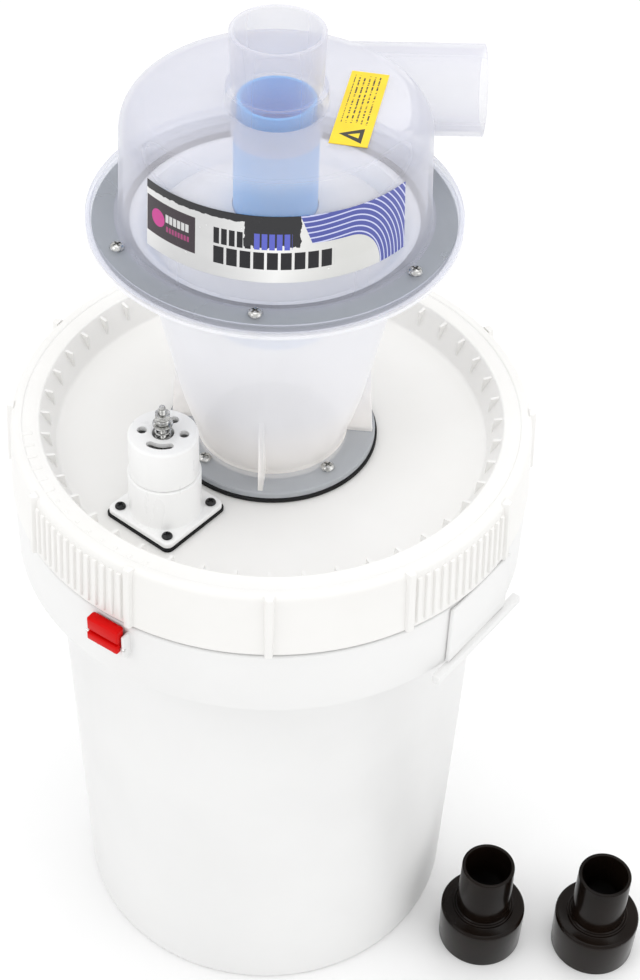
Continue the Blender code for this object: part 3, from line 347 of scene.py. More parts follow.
DOME_MILK = milky_plastic(
    "dome_milk",
    ((0.71, 0.71, 0.78), 0.20, 0.60),
    ((0.70, 0.72, 0.82), DOME_BASE, 0.03),
    (0.0882, 0.1008, DOME_FOOT + 0.0005, (0.68, 0.72, 0.78), 0.32),
    0.06,
# strength of the dome's painted glow
)
CONE_MILK = milky_plastic(
    "cone_milk",
    ((0.92, 0.92, 0.95), 0.54, 0.80),
    ((0.94, 0.91, 0.88), CONE_BASE + 0.006, 0.045),
    (0.0452, 0.0625, CONE_BASE + 0.0042, (0.74, 0.77, 0.81), 0.42),
    # strength of the cone's painted glow
    0.16,
)


# %% Coloured and black mouldings
def coloured_plastic(name, dark, light, gloss, grain, shine=0.5):
    board = Board(name)
    board.put("Specular IOR Level", shine)
    board.put("Base Color", board.ramp(board.noise(25.0, 3.0), [(0.3, dark), (0.7, light)]))
    board.put("Roughness", board.noise(120.0, 4.0) * 0.16 + (gloss - 0.08))
    board.bump(board.noise(grain, 3.0), 0.00005, 0.6)
    return board.material


VORTEX_BLUE = coloured_plastic("vortex_blue", (0.010, 0.38, 0.96), (0.016, 0.43, 1.00), 0.35, 300.0)
LATCH_RED = coloured_plastic("latch_red", (0.60, 0.003, 0.003), (0.70, 0.005, 0.004), 0.32, 500.0, 0.08)
ADAPTER_BLACK = coloured_plastic(
    "adapter_black", (0.004, 0.0026, 0.002), (0.010, 0.006, 0.004), 0.16, 150.0, 0.13
)
SEAL_RUBBER = coloured_plastic("seal_rubber", (0.006, 0.006, 0.007), (0.018, 0.018, 0.019), 0.72, 900.0, 0.2)
SCREW_BLACK = coloured_plastic("screw_black", (0.010, 0.010, 0.011), (0.025, 0.025, 0.026), 0.34, 700.0, 0.3)


# %% Zinc plate
ZINC_SHADE = 0.35


def zinc_plate(name, tone):
    """Bright plate: patchy in tone, with a fine uneven polish."""
    board = Board(name)
    patches = board.noise(420.0, 4.0)
    dark, light = [tuple(c * k for c in tone) for k in (ZINC_SHADE, 1.0)]
    board.put("Base Color", board.ramp(patches, [(0.3, dark), (0.7, light)]))
    board.put("Metallic", 1.0)
    board.put("Roughness", board.noise(500.0, 4.0) * 0.3 + 0.12)
    board.bump(board.noise(700.0, 2.0), 0.00003, 0.6)
    return board.material


ZINC = zinc_plate("zinc", (0.80, 0.80, 0.78))
print("finishes", len(bpy.data.materials))

# %% [markdown]
# ## Modelling helpers
# Nearly every part of this object was turned or moulded round an axis, so the main tool is the spin
# operator: it sweeps an outline of a few points into a closed, solid-walled shape. A finished piece keeps
# its object at the origin.

# %% Outlines, spins and finished pieces
def at_azimuth(azimuth, distance=0.0, height=0.0):
    """A place this many degrees from the front towards the right, with its -Y looking outward."""
    return Matrix.Rotation(radians(azimuth), 4, "Z") @ Matrix.Translation((0, -distance, height))


def arc(centre, size, start, end, steps=6):
    turns = [radians(start + (end - start) * i / steps) for i in range(steps + 1)]
    return [(centre[0] + size * cos(a), centre[1] + size * sin(a)) for a in turns]


def add_turned(bm, outline, steps=ROUND_STEPS, place=None):
    """Spins a closed outline of (radius, height) points. One that ends on the axis is left open there."""
    verts = [bm.verts.new((x, 0, z)) for x, z in outline]
    edges = [bm.edges.new(pair) for pair in zip(verts, verts[1:])]
    if outline[0][0] or outline[-1][0]:
        edges.append(bm.edges.new((verts[-1], verts[0])))
    before = set(bm.verts) - set(verts)
    bmesh.ops.spin(
        bm, geom=verts + edges, cent=(0, 0, 0), axis=(0, 0, 1), angle=tau, steps=steps, use_merge=True
    )
    if place:
        bmesh.ops.transform(bm, matrix=place, verts=[v for v in bm.verts if v not in before])


def soften_edges(bm, edges, offset, segments):
    """Bevels these edges and returns the corners of the new faces."""
    grown = bmesh.ops.bevel(
        bm, geom=edges, offset=offset, segments=segments, profile=0.5, affect="EDGES", material=-1
    )
    return {vert for face in grown["faces"] for vert in face.verts}


def add_block(bm, corner_low, corner_high, place=None, soften=0.0, segments=2):
    """A box between two corners, with its edges softened."""
    size = Vector(corner_high) - Vector(corner_low)
    middle = (Vector(corner_high) + Vector(corner_low)) / 2
    made = bmesh.ops.create_cube(bm, size=1, matrix=Matrix.Translation(middle) @ Matrix.Diagonal((*size, 1)))
    verts = made["verts"]
    if soften:
        edges = list({edge for vert in verts for edge in vert.link_edges})
        verts = list(soften_edges(bm, edges, soften, segments) | {v for v in verts if v.is_valid})
    if place:
        bmesh.ops.transform(bm, matrix=place, verts=verts)


def add_rod(bm, size, bottom, top, place=None, sides=32):
    middle = Matrix.Translation((0, 0, (bottom + top) / 2))
    bmesh.ops.create_cone(
        bm, cap_ends=True, segments=sides, radius1=size, radius2=size, depth=top - bottom,
        matrix=(place or Matrix()) @ middle,
    )


def add_prism(bm, points, bottom, top, place=None):
    """A flat outline of (x, y) points raised from one height to another."""
    place = place or Matrix()
    face = bm.faces.new([bm.verts.new(place @ Vector((x, y, bottom))) for x, y in points])
    grown = bmesh.ops.extrude_face_region(bm, geom=[face], use_keep_orig=True)
    moved = [part for part in grown["geom"] if isinstance(part, bmesh.types.BMVert)]
    bmesh.ops.translate(bm, verts=moved, vec=(0, 0, top - bottom))


def add_thread(bm, outline, climb, start):
    """Sweeps a small outline of (radius, height) points once round while it climbs."""
    place = Matrix.Rotation(start, 4, "Z")
    verts = [bm.verts.new(place @ Vector((x, 0, z))) for x, z in outline]
    edges = [bm.edges.new((verts[i - 1], verts[i])) for i in range(len(verts))]
    bm.faces.new(verts)
    made = bmesh.ops.spin(
        bm, geom=verts + edges, cent=(0, 0, 0), axis=(0, 0, 1), dvec=(0, 0, climb / ROUND_STEPS),
        angle=tau * THREAD_TURN, steps=ROUND_STEPS,
    )
    bmesh.ops.contextual_create(bm, geom=[e for e in made["geom_last"] if isinstance(e, bmesh.types.BMEdge)])


def solid(bm, name, crease=32):
    """The bmesh as an object, with doubles merged and faces pointing out."""
    bmesh.ops.remove_doubles(bm, verts=bm.verts, dist=1e-7)
    bmesh.ops.recalc_face_normals(bm, faces=bm.faces)
    mesh = bpy.data.meshes.new(name)
    bm.to_mesh(mesh)
    bm.free()
    mesh.shade_smooth()
    mesh.set_sharp_from_angle(angle=radians(crease))
    obj = bpy.data.objects.new(name, mesh)
    bpy.context.collection.objects.link(obj)
    return obj


def turned(name, outline, steps=ROUND_STEPS, place=None, crease=32):
    """A piece that is one spun outline."""
    bm = bmesh.new()
    add_turned(bm, outline, steps, place)
    return solid(bm, name, crease)


def carve(obj, tool, operation="DIFFERENCE"):
    """Applies a Boolean and removes its tool."""
    modifier = obj.modifiers.new("carve", "BOOLEAN")
    modifier.operation, modifier.object = operation, tool
    graph = bpy.context.evaluated_depsgraph_get()
    mesh = bpy.data.meshes.new_from_object(obj.evaluated_get(graph))
    obj.modifiers.remove(modifier)
    obj.data = mesh
    bpy.data.objects.remove(tool)


def dress(obj, finish, body, slot, *nodes, crease=32):
    """Gives a piece its finish, the body it moves with and the frame nodes it stands for."""
    obj.data.materials.clear()
    obj.data.materials.append(finish)
    obj.data.set_sharp_from_angle(angle=radians(crease))
    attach(obj, body)
    if nodes:
        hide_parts(*nodes)
    print(obj.name, len(obj.data.polygons), "faces")
    return obj


def numbered(name, count):
    return [f"{name}_{i}" for i in range(1, count + 1)]


# %% [markdown]
# ## The pail
# A pail is a thin cup with a slight draft, so that it leaves its mould. Its neck carries the thread that
# the lid screws on. The collar below hangs like a skirt, with two flat pads and their ledges, and the
# latch's cheeks.

# %% Turn the pail
def pail_radius(height):
    return PAIL_BASE_RADIUS + (PAIL_NECK_RADIUS - PAIL_BASE_RADIUS) * height / PAIL_TOP


THREAD_PITCH, THREAD_MIDDLE, THREAD_TURN = 0.012, COLLAR_TOP + 0.0095, 0.97
THREAD_ROOT_HALF, THREAD_CREST_HALF = 0.0025, 0.0015


def thread_outline(root, crest):
    return [
        (root, THREAD_MIDDLE - THREAD_ROOT_HALF),
        (crest, THREAD_MIDDLE - THREAD_CREST_HALF),
        (crest, THREAD_MIDDLE + THREAD_CREST_HALF),
        (root, THREAD_MIDDLE + THREAD_ROOT_HALF),
    ]


def make_pail():
    wall, foot, floor_thick, bead, shoulder = 0.0024, 0.004, 0.003, 0.0008, 0.0016
    dish, dish_radius = 0.0012, 0.061
    skirt_wall, taper, haunch = 0.0026, 0.012, 0.003
    thread_sunk, thread_proud = 0.0012, 0.0085
    web = COLLAR_TOP - skirt_wall
    skirt = COLLAR_RADIUS - skirt_wall
    neck = PAIL_NECK_RADIUS - wall
    outline = [
        (0, dish),
        (dish_radius - 0.001, dish),
        (dish_radius, 0),
        *arc((pail_radius(foot) - foot, foot), foot, -90, 0),
        (pail_radius(web) - 0.002, web - taper),
        (pail_radius(web) + haunch, web),
        (skirt, web),
        *arc((skirt + bead, COLLAR_FOOT + bead), bead, 180, 270, 3),
        *arc((COLLAR_RADIUS - bead, COLLAR_FOOT + bead), bead, 270, 360, 3),
        *arc((COLLAR_RADIUS - shoulder, COLLAR_TOP - shoulder), shoulder, 0, 90, 4),
        (pail_radius(COLLAR_TOP), COLLAR_TOP),
        *arc((PAIL_NECK_RADIUS - bead, PAIL_TOP - bead), bead, 0, 90, 3),
        *arc((neck + bead, PAIL_TOP - bead), bead, 90, 180, 3),
        *arc((pail_radius(floor_thick) - wall - foot, floor_thick + foot), foot, 0, -90),
        (0, floor_thick),
    ]
    bm = bmesh.new()
    add_turned(bm, outline)
    add_pail_trim(bm)
    ridge = thread_outline(PAIL_NECK_RADIUS - thread_sunk, PAIL_NECK_RADIUS + thread_proud)
    add_thread(bm, ridge, THREAD_PITCH * THREAD_TURN, 0)
    obj = solid(bm, "pail_shell")
    return dress(obj, PAIL_WHITE, "pail_body", "white_plastic", "pail")


# %% [markdown]
# The small features of the collar are separate soft-edged blocks sunk into the wall, which is how a mould
# insert leaves them: two wide pads, a ledge under each, the latch's cheeks and sill, and thin ribs inside
# the skirt.

# %% Pads, ledges, cheeks and ribs
EAR_AZIMUTHS = (52, -128)
LATCH_AZIMUTH = -35
LATCH_BACK = COLLAR_RADIUS + 0.0012
LATCH_THICK, LATCH_WIDTH, LATCH_FOOT = 0.0075, 0.022, COLLAR_TOP - 0.0171


def add_ears(bm):
    """A flat pad with a ledge under it, on either side of the collar."""
    face, inner = COLLAR_RADIUS + 0.0004, COLLAR_RADIUS - 0.0024
    pad, ledge, ledge_reach, ledge_foot = 0.030, 0.043, 0.003, COLLAR_FOOT - 0.005
    for azimuth in EAR_AZIMUTHS:
        place = at_azimuth(azimuth)
        add_block(bm, (-pad, -face, COLLAR_FOOT + 0.002), (pad, -inner, COLLAR_TOP), place, 0.0012, 3)
        corner_low = (-ledge, -face - ledge_reach, ledge_foot)
        add_block(bm, corner_low, (ledge, -inner, COLLAR_FOOT + 0.001), place, 0.0010)


def add_latch_housing(bm):
    """Two cheeks that hold the latch's pin, and a sill below."""
    place = at_azimuth(LATCH_AZIMUTH)
    reach = LATCH_BACK + LATCH_THICK / 2 + 0.0008
    half, cheek = LATCH_WIDTH / 2 + 0.0006, 0.0022
    root = COLLAR_RADIUS - 0.0023
    for side in (-1, 1):
        edges = sorted((side * half, side * (half + cheek)))
        corner_low = (edges[0], -reach, LATCH_FOOT - 0.004)
        add_block(bm, corner_low, (edges[1], -root, LATCH_FOOT + 0.013), place, 0.0010, 3)
    sill_half, sill_reach = half + 0.001, LATCH_BACK + 0.0015
    corner_low = (-sill_half, -sill_reach, LATCH_FOOT - 0.0085)
    add_block(bm, corner_low, (sill_half, -root, LATCH_FOOT - 0.0035), place, 0.0012, 3)


def add_pail_trim(bm):
    add_ears(bm)
    add_latch_housing(bm)
    half, root, first_rib = 0.0011, 0.1352, -104.5
    corner_low = (-half, -COLLAR_RADIUS + 0.0015, COLLAR_FOOT + 0.004)
    for i in range(9):
        place = at_azimuth(first_rib + 40 * i)
        add_block(bm, corner_low, (half, -root, COLLAR_TOP - 0.0012), place, 0.0004, 1)


make_pail()

# %% [markdown]
# ## The latch
# The red tab is a small moulded lever. A groove between its two ridges gives a fingertip grip, and two
# small feet stand under it. Three soft-edged blocks and the feet make it, in its own frame, and one
# transform puts it in place.

# %% Model the latch
def make_latch():
    place = at_azimuth(LATCH_AZIMUTH, LATCH_BACK + LATCH_THICK / 2, LATCH_FOOT)
    half, depth, top = LATCH_WIDTH / 2, LATCH_THICK / 2, 0.0172
    inset, foot_half = 0.0004, 0.0009
    bm = bmesh.new()
    corner_low = (-half + inset, -depth + 0.0022, inset)
    add_block(bm, corner_low, (half - inset, depth, top - 0.0002), None, 0.0008, 3)
    for low_edge, high_edge, reach in ((0.0, 0.0058, 0.0), (0.0078, top, 0.0007)):
        add_block(bm, (-half, -depth + reach, low_edge), (half, depth - 0.0006, high_edge), None, 0.0010, 3)
    for x in (-0.0040, 0.0076):
        corner_low = (x - foot_half, -depth + 0.0012, -0.0016)
        add_block(bm, corner_low, (x + foot_half, depth - 0.0024, 0.002), None, 0.0004)
    bmesh.ops.transform(bm, matrix=place, verts=bm.verts)
    obj = solid(bm, "latch_tab")
    return dress(obj, LATCH_RED, "latch", "red_plastic", "red_latch")


make_latch()

# %% [markdown]
# ## The lid
# The lid is one moulding with several jobs. Its rim sits on the pail, its skirt carries twelve tall ribs
# and four fields of fine grip ribs, and a ring of gussets stiffens the corner between the rim and the
# sunken floor.

# %% Turn the lid
WELL_RADIUS, WELL_FLOOR_RADIUS, THROAT_RADIUS = 0.138, 0.130, 0.041
WELL_DEPTH = RIM_TOP - WELL_FLOOR
WELL_LEAN = (WELL_RADIUS - WELL_FLOOR_RADIUS) / WELL_DEPTH
SKIRT_DRAFT, SKIRT_WALL = 0.0022, 0.0033


def skirt_radius(height):
    """Outer radius of the skirt, which widens towards its foot."""
    return LID_RADIUS + SKIRT_DRAFT * (RIM_TOP - height) / (RIM_TOP - SKIRT_FOOT)


def lid_outline():
    underside = WELL_FLOOR - 0.0035
    seat = PAIL_TOP + 0.0033
    seat_inside = WELL_FLOOR_RADIUS + 0.00308 + WELL_LEAN * (seat - WELL_FLOOR)
    seat_outside = seat_inside + 0.0046
    under_rim = RIM_TOP - 0.0028
    inside_foot = LID_RADIUS + SKIRT_DRAFT - SKIRT_WALL
    return [
        (inside_foot + 0.0006, SKIRT_FOOT),
        (LID_RADIUS + SKIRT_DRAFT - 0.0006, SKIRT_FOOT),
        (LID_RADIUS + SKIRT_DRAFT, SKIRT_FOOT + 0.0008),
        *arc((LID_RADIUS - 0.0040, RIM_TOP - 0.0040), 0.0040, 4, 84),
        (LID_RADIUS - 0.0065, RIM_TOP - 0.0002),
        (LID_RADIUS - 0.0072, RIM_TOP - 0.0008),
        (WELL_RADIUS + 0.0030, RIM_TOP - 0.0008),
        *arc((WELL_RADIUS + 0.0014, RIM_TOP - 0.0014), 0.0014, 80, 156, 4),
        *arc((WELL_FLOOR_RADIUS - 0.0022, WELL_FLOOR + 0.0024), 0.0024, -24, -90, 4),
        (THROAT_RADIUS, WELL_FLOOR),
        (THROAT_RADIUS, underside),
        (WELL_FLOOR_RADIUS + 0.0015, underside),
        (seat_inside, seat),
        (seat_outside, seat),
        (seat_outside, under_rim),
        (LID_RADIUS - SKIRT_WALL - 0.001, under_rim),
    ]


# %% Ribs, grip fields and gussets of the lid
RIB_EVERY = 30
GRIP_FIELDS = (-150, -60, 30, 120)
GRIP_RIBS = 13
TEETH = 45
TALL_RIB = (0.0040, 0.0028, SKIRT_FOOT + 0.0002, RIM_TOP + 0.0004)
GRIP_RIB = (0.0026, 0.0016, SKIRT_FOOT + 0.0034, RIM_TOP - 0.0060)


def add_skirt_rib(bm, azimuth, width, proud, bottom, top):
    """An upright rib that follows the skirt's draft."""
    base = [(-width / 2, bottom), (width / 2, bottom), (width / 2, top), (-width / 2, top)]
    front = [bm.verts.new((x, -skirt_radius(z) - proud, z)) for x, z in base]
    back = [bm.verts.new((x * 1.6, -skirt_radius(z) + 0.0016, z)) for x, z in base]
    bm.faces.new(front)
    bm.faces.new(back[::-1])
    for i in range(4):
        j = (i + 1) % 4
        bm.faces.new((front[i], back[i], back[j], front[j]))
    edges = list({edge for vert in front for edge in vert.link_edges})
    verts = soften_edges(bm, edges, min(width, proud * 2) * 0.25, 2)
    verts |= {v for v in front + back if v.is_valid}
    verts |= {vert for edge in {e for v in verts for e in v.link_edges} for vert in edge.verts}
    bmesh.ops.transform(bm, matrix=Matrix.Rotation(radians(azimuth), 4, "Z"), verts=list(verts))


def add_tooth(bm, azimuth):
    """A gusset under the rim's inner edge, widest at its top, that runs down into the leaning wall."""
    foot, top, reach = WELL_DEPTH * 0.30, WELL_DEPTH * 0.93, 0.0046
    at_foot, at_top = WELL_FLOOR_RADIUS + WELL_LEAN * foot, WELL_FLOOR_RADIUS + WELL_LEAN * top
    points = [
        (at_foot - 0.0004, foot, 0.0008),
        (at_foot + 0.0009, foot, 0.0011),
        (at_top + 0.0011, top, 0.0011),
        (at_top - reach, top - 0.0012, 0.0008),
    ]
    place = at_azimuth(azimuth)
    sides = []
    for side in (-1, 1):
        corners = [place @ Vector((side * w, -r, WELL_FLOOR + z)) for r, z, w in points]
        sides.append([bm.verts.new(corner) for corner in corners])
    bm.faces.new(sides[0])
    bm.faces.new(sides[1][::-1])
    for i in range(4):
        j = (i + 1) % 4
        bm.faces.new((sides[0][i], sides[1][i], sides[1][j], sides[0][j]))


def make_lid():
    shell = turned("lid_blank", lid_outline(), 180)
    bm = bmesh.new()
    add_rod(bm, VALVE_BORE, WELL_FLOOR - 0.01, WELL_FLOOR + 0.01, VALVE_PLACE, 48)
    carve(shell, solid(bm, "lid_hole_tool"))
    bm = bmesh.new()
    bm.from_mesh(shell.data)
    bpy.data.objects.remove(shell)
    for azimuth in range(0, 360, RIB_EVERY):
        add_skirt_rib(bm, azimuth, *TALL_RIB)
    for start in GRIP_FIELDS:
        for i in range(GRIP_RIBS):
            azimuth = start + RIB_EVERY * (i + 1) / (GRIP_RIBS + 1)
            add_skirt_rib(bm, azimuth, *GRIP_RIB)
    for i in range(TEETH):
        add_tooth(bm, i * 360 / TEETH)
    add_rim_marks(bm)
    ridge = thread_outline(LID_RADIUS - SKIRT_WALL / 3, PAIL_NECK_RADIUS + 0.0065)
    add_thread(bm, ridge, THREAD_PITCH * THREAD_TURN, pi)
    obj = solid(bm, "lid_shell")
    return dress(obj, LID_WHITE, "lid_body", "white_plastic", "lid")


def add_rim_marks(bm):
    """Raised strokes on the rim that show which way the lid opens: plain bars, and no letters."""
    rim, half, proud, sunk = LID_RADIUS - 0.0095, 0.0013, 0.0004, 0.0014
    for azimuth in range(-80, -26, 4):
        length = 0.0032 if azimuth < -56 else 0.0012
        corner_low = (-half, -rim - length, RIM_TOP - sunk)
        corner_high = (half, -rim + length, RIM_TOP - proud)
        add_block(bm, corner_low, corner_high, at_azimuth(azimuth), 0.0003, 1)


VALVE_AZIMUTH, VALVE_CIRCLE, VALVE_BORE = -40.3, 0.0936, 0.0165
VALVE_PLACE = at_azimuth(VALVE_AZIMUTH, VALVE_CIRCLE)
make_lid()

# %% [markdown]
# ## The cyclone's cone
# The cone funnels the spinning dust down to the lid. It ends in a flat foot held by four screws and
# stiffened by four thin fins, and opens above into the lower of the two big flanges. The wall is modelled
# with its real thickness, because a translucent wall shows its inner face too.

# %% Turn the cone
CONE_FLOOR = CONE_BASE + 0.0037
CONE_WALL, CONE_TOP_RADIUS, CONE_SHOULDER_RADIUS, CONE_FOOT_RADIUS = 0.0024, 0.0775, 0.054, 0.044
CONE_SHOULDER_RISE, FIN_RISE, BASE_FLANGE_RADIUS = 0.0365, 0.050, 0.0620
CONE_SHOULDER = CONE_FLOOR + CONE_SHOULDER_RISE
FLANGE_UNDER = CONE_TOP - FLANGE_THICK


def make_cone():
    shoulder_mid = ((CONE_FOOT_RADIUS + CONE_SHOULDER_RADIUS) / 2 + 0.0006, (CONE_FLOOR + CONE_SHOULDER) / 2)
    outer = [
        (CONE_FOOT_RADIUS + 0.0012, CONE_FLOOR),
        (CONE_FOOT_RADIUS + 0.0006, CONE_FLOOR + 0.002),
        shoulder_mid,
        (CONE_SHOULDER_RADIUS - 0.0004, CONE_SHOULDER - 0.004),
        (CONE_SHOULDER_RADIUS + 0.0012, CONE_SHOULDER + 0.003),
        (CONE_TOP_RADIUS - 0.0004, FLANGE_UNDER - 0.002),
        (CONE_TOP_RADIUS + 0.0010, FLANGE_UNDER),
    ]
    inner = [(r - CONE_WALL, z) for r, z in reversed(outer[1:-1])]
    outline = [
        (BASE_FLANGE_RADIUS, CONE_BASE),
        (BASE_FLANGE_RADIUS, CONE_FLOOR - 0.0006),
        (BASE_FLANGE_RADIUS - 0.0006, CONE_FLOOR),
        *outer,
        (FLANGE_RADIUS - 0.0005, FLANGE_UNDER),
        (FLANGE_RADIUS, FLANGE_UNDER + 0.0006),
        (FLANGE_RADIUS, CONE_TOP),
        (CONE_TOP_RADIUS - CONE_WALL, CONE_TOP),
        *inner,
        (THROAT_RADIUS, CONE_BASE),
    ]
    obj = turned("cone_shell", outline, 144)
    carve(obj, cone_fins(), "UNION")
    return dress(obj, CONE_MILK, "lid_body", "clear_plastic", "cyclone_cone")


def cone_fins():
    """Four upright fins between the foot flange and the cone's wall."""
    share = (FIN_RISE - CONE_SHOULDER_RISE) / (FLANGE_UNDER - CONE_SHOULDER)
    top = CONE_SHOULDER_RADIUS + share * (CONE_TOP_RADIUS - CONE_SHOULDER_RADIUS)
    half, sunk, edge = 0.0014, 0.0008, BASE_FLANGE_RADIUS - 0.0014
    points = [
        (CONE_FOOT_RADIUS - 0.0010, CONE_FLOOR - sunk),
        (edge, CONE_FLOOR - sunk),
        (edge - 0.0006, CONE_FLOOR + 0.004),
        (top + 0.0006, CONE_FLOOR + FIN_RISE),
        (top - 0.0012, CONE_FLOOR + FIN_RISE),
        (CONE_SHOULDER_RADIUS - 0.0012, CONE_SHOULDER),
    ]
    bm = bmesh.new()
    for azimuth in (-6, 84, 174, 264):
        place = at_azimuth(azimuth)
        face = bm.faces.new([bm.verts.new(place @ Vector((-half, -r, z))) for r, z in points])
        grown = bmesh.ops.extrude_face_region(bm, geom=[face], use_keep_orig=True)
        moved = [part for part in grown["geom"] if isinstance(part, bmesh.types.BMVert)]
        bmesh.ops.translate(bm, verts=moved, vec=place.to_3x3() @ Vector((half * 2, 0, 0)))
    return solid(bm, "fin_tool")


make_cone()

# %% [markdown]
# ## The dome
# The dome closes the cyclone. One moulding holds its flange, with a raised lip at the rim, the round
# shoulder, the upright outlet port and the inlet port that enters along a tangent. The ports are joined
# with a Boolean, because a wall left inside a translucent part would show.

# %% Turn the dome and join its inlet
def dome_outline():
    lip, lip_top = FLANGE_RADIUS - 0.0026, DOME_FOOT + 0.0013
    edge, soft, fillet = 0.0006, 0.0004, 0.0026
    collar, collar_top, collar_foot, collar_edge = 0.0274, DOME_TOP + 0.011, 0.0015, 0.0008
    centre = (DOME_TOP_RADIUS - DOME_ROUND, DOME_TOP - DOME_ROUND)
    spigot = PORT_RADIUS - 0.001
    bore = spigot - PORT_WALL
    socket = DOME_TOP - 0.019
    return [
        (FLANGE_RADIUS, DOME_BASE),
        *arc((FLANGE_RADIUS - edge, lip_top - edge), edge, 0, 90, 3),
        *arc((lip + soft, lip_top - soft), soft, 90, 180, 3),
        (lip - 0.0003, DOME_FOOT),
        *arc((DOME_RADIUS + fillet, DOME_FOOT + fillet), fillet, -90, -180, 5),
        *arc(centre, DOME_ROUND, 2, 90, 12),
        *arc((collar + collar_foot, DOME_TOP + collar_foot), collar_foot, -90, -180, 4),
        *arc((collar - collar_edge, collar_top - collar_edge), collar_edge, 0, 90, 3),
        (spigot + edge, collar_top),
        (spigot, collar_top + edge),
        *arc((PORT_RADIUS - edge, OUTLET_TOP - edge), edge, 0, 90, 3),
        *arc((PORT_RADIUS - PORT_WALL + edge, OUTLET_TOP - edge), edge, 90, 180, 3),
        (bore, collar_top),
        (bore, socket),
        (spigot, socket),
        (spigot, DOME_TOP - DOME_WALL),
        *arc(centre, DOME_ROUND - DOME_WALL, 90, 2, 12),
        (DOME_RADIUS - DOME_WALL, DOME_BASE),
    ]


def along_inlet(bm, size, start, end, sides=96):
    """A rod along the inlet's axis."""
    place = Matrix.Translation((0, INLET_Y, INLET_Z)) @ Matrix.Rotation(pi / 2, 4, "Y")
    add_rod(bm, size, start, end, place, sides)


def dome_core():
    """The middle of the dome's wall as a solid, to trim the inlet's inner end."""
    half = DOME_WALL / 2
    centre = (DOME_TOP_RADIUS - DOME_ROUND, DOME_TOP - DOME_ROUND)
    outline = [
        (0, DOME_BASE),
        (DOME_RADIUS - half, DOME_BASE),
        *arc(centre, DOME_ROUND - half, 2, 90, 12),
        (0, DOME_TOP - half),
    ]
    return turned("core_tool", outline, 144)


def make_dome():
    obj = turned("dome_shell", dome_outline(), 144)
    bm = bmesh.new()
    along_inlet(bm, PORT_RADIUS, 0, INLET_END)
    stub = solid(bm, "inlet_tool")
    carve(stub, dome_core())
    carve(obj, stub, "UNION")
    bm = bmesh.new()
    along_inlet(bm, PORT_RADIUS - PORT_WALL, 0.004, INLET_END + 0.005)
    carve(obj, solid(bm, "inlet_bore_tool"))
    return dress(obj, DOME_MILK, "lid_body", "clear_plastic", "cyclone_dome", crease=38)


make_dome()

# %% [markdown]
# ## What shows through the dome
# A light blue tube, the vortex finder, plugs into the socket under the outlet. A white disc round it stops
# dust from being drawn straight up. Both are plain turned parts, but they are seen through milk, so their
# outlines must be true.

# %% Vortex finder and baffle
def make_vortex_finder():
    corner_low, corner_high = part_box("vortex_finder")
    foot, top = corner_low[2], corner_high[2]
    bell, flare, wall = foot + 0.052, 0.011, 0.0022
    spigot, neck, tube, skirt = 0.0213, DOME_TOP - 0.0196, 0.0232, 0.040
    outline = [
        *arc((spigot - 0.0005, top - 0.0005), 0.0005, 0, 90, 3),
        *arc((spigot - wall + 0.0005, top - 0.0005), 0.0005, 90, 180, 3),
        (spigot - wall, neck),
        (tube - wall, neck - wall),
        (tube - wall, bell + flare - wall / 2),
        (skirt - wall, bell - wall / 2),
        (skirt - wall, foot),
        (skirt, foot),
        (skirt, bell),
        (skirt - 0.003, bell + 0.0035),
        (tube + 0.001, bell + flare - 0.001),
        (tube, bell + flare),
        (tube, neck - 0.0005),
        (tube - 0.0005, neck),
        (spigot, neck),
    ]
    obj = turned("vortex_tube", outline, 96)
    return dress(obj, VORTEX_BLUE, "lid_body", "blue_plastic", "vortex_finder")


def make_baffle():
    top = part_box("baffle")[1][2]
    hub, edge, thick, rise = 0.0238, 0.0675, 0.0024, 0.0165
    steps = 14
    crown = [(hub + (edge - hub) * i / steps, top - rise * (i / steps) ** 2) for i in range(steps + 1)]
    under = [(r, z - thick) for r, z in reversed(crown)]
    obj = turned("baffle_disc", crown + under, 120)
    return dress(obj, BAFFLE_WHITE, "lid_body", "white_plastic", "baffle")


make_vortex_finder()
make_baffle()

# %% [markdown]
# ## Seals
# The dark rings are cut foam and rubber, each a plain ring with its outer edges softened. The upper one is
# what makes the flanges look grey: it lies between them and is seen through both.

# %% Cut the ring seals
def make_ring_seal(node, outside, inside, name):
    bottom, top = low(node), high(node)
    soft = 0.0003
    outline = [
        (inside, bottom),
        *arc((outside - soft, bottom + soft), soft, -90, 0, 3),
        *arc((outside - soft, top - soft), soft, 0, 90, 3),
        (inside, top),
    ]
    return dress(turned(name, outline, 144), SEAL_RUBBER, "lid_body", "black_rubber", node)


FOOT_SEAL_RADIUS, BIG_SEAL_RADIUS, BIG_SEAL_BORE = 0.0633, 0.1004, 0.0799
make_ring_seal("cone_base_seal", FOOT_SEAL_RADIUS, THROAT_RADIUS, "foot_seal")
make_ring_seal("flange_seal", BIG_SEAL_RADIUS, BIG_SEAL_BORE, "big_seal")

# %% [markdown]
# ## Screws
# All the bright screws are pan heads with a cross recess. One is modelled with care, and the rest are
# copies of its mesh, each turned by its own amount, as a driver would leave them.

# %% Model one pan head and place its copies
def pan_head(size, rise, shank, length):
    """A pan-head screw with its seat at height 0."""
    outline = [
        (0, rise),
        (size * 0.40, rise * 0.985),
        (size * 0.66, rise * 0.86),
        (size * 0.87, rise * 0.60),
        (size * 0.97, rise * 0.30),
        (size, rise * 0.08),
        (size * 0.98, 0),
        (shank, 0),
        (shank, -length),
        (0, -length),
    ]
    head = turned("head_tool", outline, 36)
    arm, half = size * 0.60, size * 0.14
    corner = [(arm, -half), (arm, half), (half, half)]
    cross = []
    for a in (0, pi / 2, pi, 3 * pi / 2):
        cross += [(x * cos(a) - y * sin(a), x * sin(a) + y * cos(a)) for x, y in corner]
    bm = bmesh.new()
    add_prism(bm, cross, rise * 0.30, rise + 0.001)
    carve(head, solid(bm, "cross_tool"))
    mesh = head.data
    bpy.data.objects.remove(head)
    return mesh


